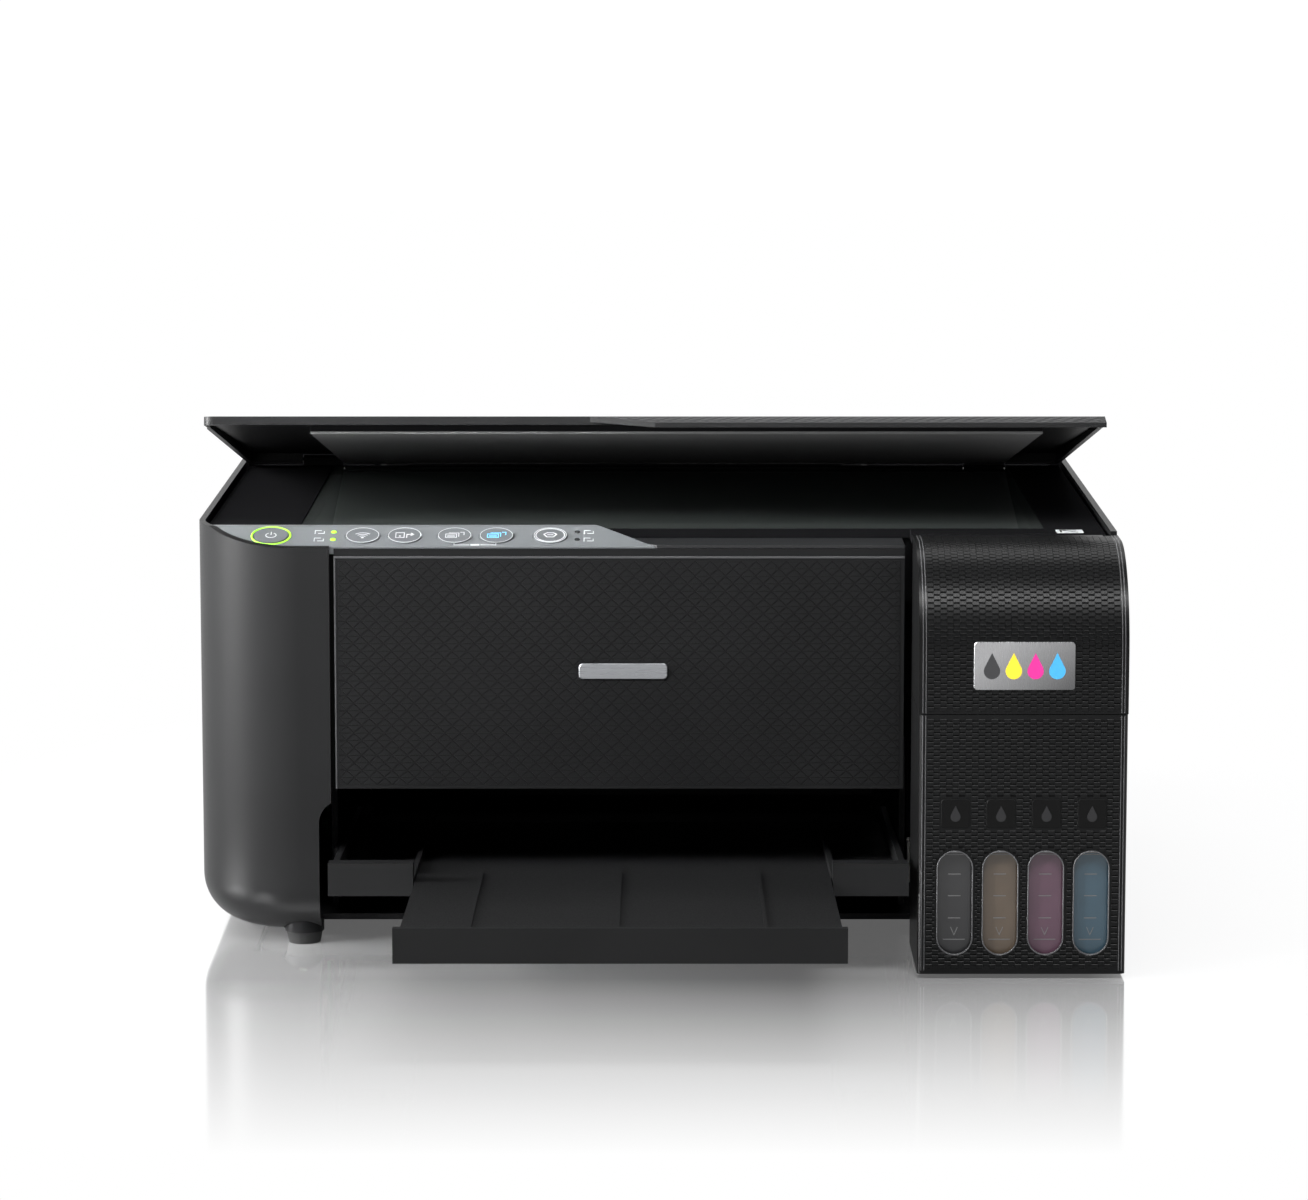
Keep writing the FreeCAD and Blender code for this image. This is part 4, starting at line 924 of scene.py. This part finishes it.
def cover_weave(materials):
    """Rows of fine raised bars on the sloped front of the cover, each row half a step off the last."""
    run, rise = FLANGE_HIGH[0] - FLANGE_LOW[0], FLANGE_HIGH[1] - FLANGE_LOW[1]
    slope = math.hypot(run, rise)
    right = edges_of("document_cover")[0][1]
    sheet = cover_sheet(0, *FLANGE_LOW, run, rise)
    first, last = FLANGE_BARS
    bars = Solids()
    step = slope / (COVER_ROWS + 0.6)
    for row in range(COVER_ROWS):
        up = step * (row + 0.8)
        x = first + (last - first) * up / slope + 2 + (BAR_WIDTH if row % 2 else 0)
        while x + BAR_WIDTH < right - 1:
            outline = rounded(BAR_WIDTH * 1.3, step * 0.5, 0.25, 2, x + BAR_WIDTH / 2, up)
            bars.plate(sheet, outline, -0.1, 0.16, 0.08)
            x += BAR_WIDTH * 2
    bars.piece("cover_weave", materials["cover_bar"], "document_cover")


def mat_front(materials):
    """The pad's front: a dark face of painted shade, with a pale band of painted highlight along its
    bottom.
    """
    (left, right), _, _ = edges_of("document_mat")
    sheet = cover_sheet(0, *MAT_FRONT, 0, 1)
    # the dark face is painted shade and the pale band below it is a painted highlight
    for name, material, (low, high), out, chamfer in (
        ("mat_front", "inner", MAT_FACE, 0.1, 0.0),
        ("mat_edge_highlight", "mat_edge_highlight", MAT_HIGHLIGHT_BAND, 0.3, 0.1),
    ):
        band = Solids()
        band.plate(sheet, oblong(left, right, low, high), -0.1, out, chamfer)
        band.piece(name, materials[material], "document_cover")


# ---------------------------------------------------------------- control panel


PANEL_TILT = math.radians(18.9)
PANEL_MIDDLE = (67.0, 168.94)
BUTTON_TOP = 0.4
PRINT_SINK = 0.05
LAMP_OFFSET = 3.4
LIT_LAMPS_X = -130.4
DARK_LAMPS_X = -31.2
LAMP_SIGNS_X = (-136.0, -26.4)
PANEL_PRINT = (-0.02, 0.1)
CORNER_MARK = (169.5, 72.5)


def panel_sheet(x):
    """A drawing place on the sloped control panel."""
    up = Vector((0, math.cos(PANEL_TILT), math.sin(PANEL_TILT)))
    return Sheet(at(x, *PANEL_MIDDLE), Vector((1, 0, 0)), up)


def button_x(name):
    """The middle of a button, from side to side."""
    return sum(edges_of(name)[0]) / 2


def button_rings(materials):
    """The lit ring of the power button and the printed rings of the others."""
    lit = Solids()
    sheet = panel_sheet(button_x("power_button"))
    lit.ring(sheet, circle(8.2), circle(7.5), -PRINT_SINK, 0.35, 0.1)
    lit.piece("power_ring", materials["green_light"], "case", True)
    low, high = BUTTON_TOP - PRINT_SINK, BUTTON_TOP + 0.05
    for name in ("wireless", "status", "copy_mono", "copy_colour", "stop"):
        rings = Solids()
        sheet = panel_sheet(button_x(f"{name}_button"))
        rings.ring(sheet, circle(6.7), circle(6.45), low, high)
        if name == "stop":
            rings.ring(sheet, circle(6.0), circle(5.65), low, high)
        rings.piece(f"{name}_ring", materials["grey_print"], f"{name}_button")


def button_marks(materials):
    """A generic sign on each button."""
    for name, (draw, material) in BUTTON_MARKS.items():
        solids = Solids()
        draw(solids, panel_sheet(button_x(f"{name}_button")))
        solids.piece(f"{name}_mark", materials[material], f"{name}_button")


def line(solids, sheet, points, width=0.38):
    """A line printed on a button's top."""
    solids.stroke(sheet, points, width, BUTTON_TOP - PRINT_SINK, BUTTON_TOP + 0.06)


def dot(solids, sheet, radius, count, across, up):
    """A round spot printed on a button's top."""
    outline = circle(radius, count, across, up)
    solids.plate(sheet, outline, BUTTON_TOP - PRINT_SINK, BUTTON_TOP + 0.06)


def draw_power(solids, sheet):
    """A broken circle with an upright line."""
    line(solids, sheet, circle(2.1, 15, 0, -0.2, 125, 290))
    line(solids, sheet, [(0, 0.4), (0, 2.6)])


def draw_wireless(solids, sheet):
    """Three arcs over a dot."""
    foot = -2.3
    for radius in (1.5, 2.9, 4.3):
        line(solids, sheet, circle(radius, 8, 0, foot, 50, 80))
    dot(solids, sheet, 0.6, 12, 0, foot)


def draw_page(solids, sheet, x, z, wide, tall):
    """A page's outline, from its lower left corner."""
    right, top = x + wide, z + tall
    line(solids, sheet, [(x, z), (right, z), (right, top), (x, top), (x, z)], 0.36)


def draw_status(solids, sheet):
    """A page with a dot, and an arrow beside it."""
    draw_page(solids, sheet, -3.6, -2.3, 3.4, 4.4)
    line(solids, sheet, [(0.9, -2.3), (0.9, 0.6), (3.4, 0.6)], 0.36)
    line(solids, sheet, [(2.6, 1.6), (3.6, 0.6), (2.6, -0.4)], 0.36)
    dot(solids, sheet, 0.5, 10, -1.9, -0.9)


def draw_copy(solids, sheet):
    """A page with two lines, and the edges of two more behind it."""
    draw_page(solids, sheet, -3.6, -2.2, 4.4, 3.2)
    for level in (-1.2, -0.2):
        line(solids, sheet, [(-2.8, level), (0.0, level)], 0.34)
    line(solids, sheet, [(-2.2, 1.9), (1.7, 1.9), (1.7, -1.2)], 0.36)
    line(solids, sheet, [(2.4, 2.5), (3.8, 2.5), (3.8, 0.2)], 0.36)


def draw_stop(solids, sheet):
    """A six-sided plate with a bar."""
    corners = [(-2.6, 0.7), (-1.3, 2.0), (1.3, 2.0), (2.6, 0.7), (1.3, -1.7), (-1.3, -1.7), (-2.6, 0.7)]
    line(solids, sheet, corners, 0.4)
    line(solids, sheet, [(-1.1, 0.2), (1.1, 0.2)], 0.4)


BUTTON_MARKS = {
    "power": (draw_power, "grey_print"),
    "wireless": (draw_wireless, "grey_print"),
    "status": (draw_status, "grey_print"),
    "copy_mono": (draw_copy, "grey_print"),
    "copy_colour": (draw_copy, "blue_light"),
    "stop": (draw_stop, "grey_print"),
}


def copy_bracket(signs):
    """The bracket that joins the two copy buttons, with a small bar in its middle."""
    sheet = panel_sheet((button_x("copy_mono_button") + button_x("copy_colour_button")) / 2)
    top, level = -7.1, -8.2
    for side in (-1, 1):
        arm = [(8.5 * side, top), (8.5 * side, level), (2.4 * side, level)]
        signs.stroke(sheet, arm, 0.3, *PANEL_PRINT)
    signs.plate(sheet, rounded(3.6, 1.1, 0.2, 3, 0, level), -0.02, 0.12)


def panel_lights(materials):
    """Two lit lamps beside the power button and two dark ones at the right, with their signs."""
    lit = Solids()
    dark = Solids()
    signs = Solids()
    for x, solids in ((LIT_LAMPS_X, lit), (DARK_LAMPS_X, dark)):
        for up in (LAMP_OFFSET, -LAMP_OFFSET):
            lamp = rounded(2.3, 2.3, 1.1, 6, 0, up)
            solids.plate(panel_sheet(x), lamp, -PRINT_SINK, 0.3, 0.12)
    for x in LAMP_SIGNS_X:
        sheet = panel_sheet(x)
        for up in (LAMP_OFFSET, -LAMP_OFFSET):
            upper = [(-2.0, up - 1.4), (-2.0, up + 1.4), (0.4, up + 1.4)]
            lower = [(-0.6, up - 1.2), (1.7, up - 1.2), (1.7, up + 0.5)]
            signs.stroke(sheet, upper, 0.34, *PANEL_PRINT)
            signs.stroke(sheet, lower, 0.34, *PANEL_PRINT)
    copy_bracket(signs)
    lit.piece("lit_lamps", materials["green_light"], "case")
    dark.piece("dark_lamps", materials["dark_light"], "case")
    signs.piece("panel_signs", materials["grey_print"], "case")


def alignment_mark(materials):
    """The page-corner mark on the deck, right of the glass."""
    _, _, (_, top) = edges_of("scanner_bezel")
    sheet = Sheet(at(*CORNER_MARK, top), Vector((1, 0, 0)), Vector((0, 1, 0)))
    plate = Solids()
    plate.plate(sheet, rounded(11, 9.5, 0.8), -PRINT_SINK, 0.15, 0.05)
    plate.piece("corner_mark_plate", materials["pale_print"], "scanner")
    mark = Solids()
    mark.stroke(sheet, [(-3.6, -3.0), (-3.6, 3.2), (2.6, 3.2)], 0.8, 0.1, 0.22)
    mark.stroke(sheet, [(-2.6, 2.2), (2.8, -2.8)], 0.8, 0.1, 0.22)
    mark.piece("corner_mark", materials["dark_print"], "scanner")


# ---------------------------------------------------------------- surroundings


FLOOR_FADE = (0.0, 0.27)
FLOOR_GLOW = (0.1, 1.0)
SIDE_FADE = 1.6
CASE_ROUNDING = 0.015
FLOOR_REACH = 4.5
BACKDROP_HEIGHT = (-0.5, 5)
LENS = 133.62
SENSOR_WIDTH = 36
CAMERA_PLACE = (0, -1.98140, 0.43199)
CAMERA_TILT = -0.1467846
LIGHTS = {
    # place, target, width, height, power, spread in degrees
    "top_light": ((-0.35, -1.4, 2.2), (0, 0, 0.1), 2.2, 0.8, 45, 180),
    "shoulder_light": ((0.33, -1.38, 2.2), (0.146, -0.06, 0.155), 0.9, 0.35, 30, 180),
    "floor_light": ((0, 1.2, 2.2), (0, 0.9, 0), 3.0, 0.8, 25, 180),
    "left_light": ((-1.35, -0.2, 0.5), (-0.17, -0.02, 0.3), 0.6, 0.6, 6.5, 45),
    "front_light": ((-0.8, -2.2, 0.2), (0, 0, 0.18), 0.8, 0.3, 3, 180),
    "key_light": ((-1.0, -0.7, 0.85), (-0.25, -0.04, 0.33), 0.4, 0.4, 1.5, 25),
}


def distance_from_printer(tree):
    """How far a point of the floor lies outside the case's footprint, counted more to the sides."""
    low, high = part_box("tank_housing")
    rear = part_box("rear_cover")[1].y
    half = (high.x - CASE_ROUNDING, (rear - low.y) / 2, 0)
    value = tree.nodes.new("ShaderNodeTexCoord").outputs["Object"]
    for operation, amount in (
        ("SUBTRACT", (0, (rear + low.y) / 2, 0)),
        ("ABSOLUTE", (0, 0, 0)),
        ("SUBTRACT", half),
        ("MAXIMUM", (0, 0, 0)),
        ("MULTIPLY", (SIDE_FADE, 1, 1)),
    ):
        step = tree.nodes.new("ShaderNodeVectorMath")
        step.operation = operation
        tree.links.new(value, step.inputs[0])
        step.inputs[1].default_value = amount
        value = step.outputs["Vector"]
    length = tree.nodes.new("ShaderNodeVectorMath")
    length.operation = "LENGTH"
    tree.links.new(value, length.inputs[0])
    return length.outputs["Value"]


def floor_material():
    """A pale glossy tabletop that turns to plain white light away from the printer."""
    material, tree, shader = new_material("pale_floor")
    tone = tinted(tree, noise(tree, 900, 2), (0.84, 0.84, 0.845), (0.87, 0.87, 0.875))
    tree.links.new(tone, shader.inputs["Base Color"])
    shader.inputs["Roughness"].default_value = 0.08
    shader.inputs["Metallic"].default_value = 0.75
    (near, far), (dim, full) = FLOOR_FADE, FLOOR_GLOW
    fade = add(tree, "ShaderNodeMapRange", From_Min=near, From_Max=far, To_Min=dim, To_Max=full)
    tree.links.new(distance_from_printer(tree), fade.inputs["Value"])
    white = add(tree, "ShaderNodeEmission", Color=(1, 1, 1, 1), Strength=1.0)
    mix = tree.nodes.new("ShaderNodeMixShader")
    tree.links.new(fade.outputs["Result"], mix.inputs[0])
    tree.links.new(shader.outputs[0], mix.inputs[1])
    tree.links.new(white.outputs[0], mix.inputs[2])
    tree.links.new(mix.outputs[0], tree.nodes["Material Output"].inputs["Surface"])
    return material


def plane(name, corners, material):
    """A flat piece of the studio."""
    mesh = bpy.data.meshes.new(name)
    mesh.from_pydata(corners, [], [(0, 1, 2, 3)])
    mesh.materials.append(material)
    thing = bpy.data.objects.new(name, mesh)
    bpy.context.scene.collection.objects.link(thing)


def surroundings():
    """Pale floor, white backdrop behind it, dim world."""
    reach = FLOOR_REACH
    ground = [(-reach, -reach, 0), (reach, -reach, 0), (reach, reach, 0), (-reach, reach, 0)]
    plane("floor", ground, floor_material())
    white, tree, shader = new_material("white_backdrop")
    glow = add(tree, "ShaderNodeEmission", Color=(1, 1, 1, 1), Strength=1.05)
    tree.links.new(glow.outputs[0], tree.nodes["Material Output"].inputs["Surface"])
    tree.nodes.remove(shader)
    left, right = -reach * 2, reach * 2
    low, high = BACKDROP_HEIGHT
    wall = [(left, reach, low), (right, reach, low), (right, reach, high), (left, reach, high)]
    plane("backdrop", wall, white)
    world = bpy.data.worlds.new("studio")
    bpy.context.scene.world = world
    world.use_nodes = True
    background = world.node_tree.nodes["Background"]
    background.inputs["Color"].default_value = (0.9, 0.95, 1.0, 1)
    background.inputs["Strength"].default_value = 0.12


def soft_light(name, place, target, width, height, power, spread_degrees):
    """A rectangular soft light that points from its place to a target."""
    data = bpy.data.lights.new(name, "AREA")
    data.shape = "RECTANGLE"
    data.size = width
    data.size_y = height
    data.energy = power
    data.spread = math.radians(spread_degrees)
    light = bpy.data.objects.new(name, data)
    light.location = place
    aim = Vector(target) - Vector(place)
    light.rotation_euler = aim.to_track_quat("-Z", "Y").to_euler()
    bpy.context.scene.collection.objects.link(light)


def camera():
    """A long lens that looks a little down on the printer from straight in front."""
    data = bpy.data.cameras.new("camera")
    data.lens = LENS
    data.sensor_width = SENSOR_WIDTH
    data.clip_end = 50
    view = bpy.data.objects.new("camera", data)
    view.location = CAMERA_PLACE
    view.rotation_euler = (math.pi / 2 + CAMERA_TILT, 0, 0)
    bpy.context.scene.collection.objects.link(view)
    bpy.context.scene.camera = view
    bpy.context.scene.view_settings.view_transform = "Standard"


def main():
    """Paints the printer, adds its reliefs and markings, and sets up the studio."""
    materials = make_materials()
    paint_nodes(materials)
    tank_weave(materials)
    tank_windows(materials)
    tank_tags(materials)
    tank_label(materials)
    door_lattice(materials)
    door_edges(materials)
    gap_shade_strip(materials)
    door_badge(materials)
    cover_weave(materials)
    mat_front(materials)
    button_rings(materials)
    button_marks(materials)
    panel_lights(materials)
    alignment_mark(materials)
    surroundings()
    for name, values in LIGHTS.items():
        soft_light(name, *values)
    camera()


main()
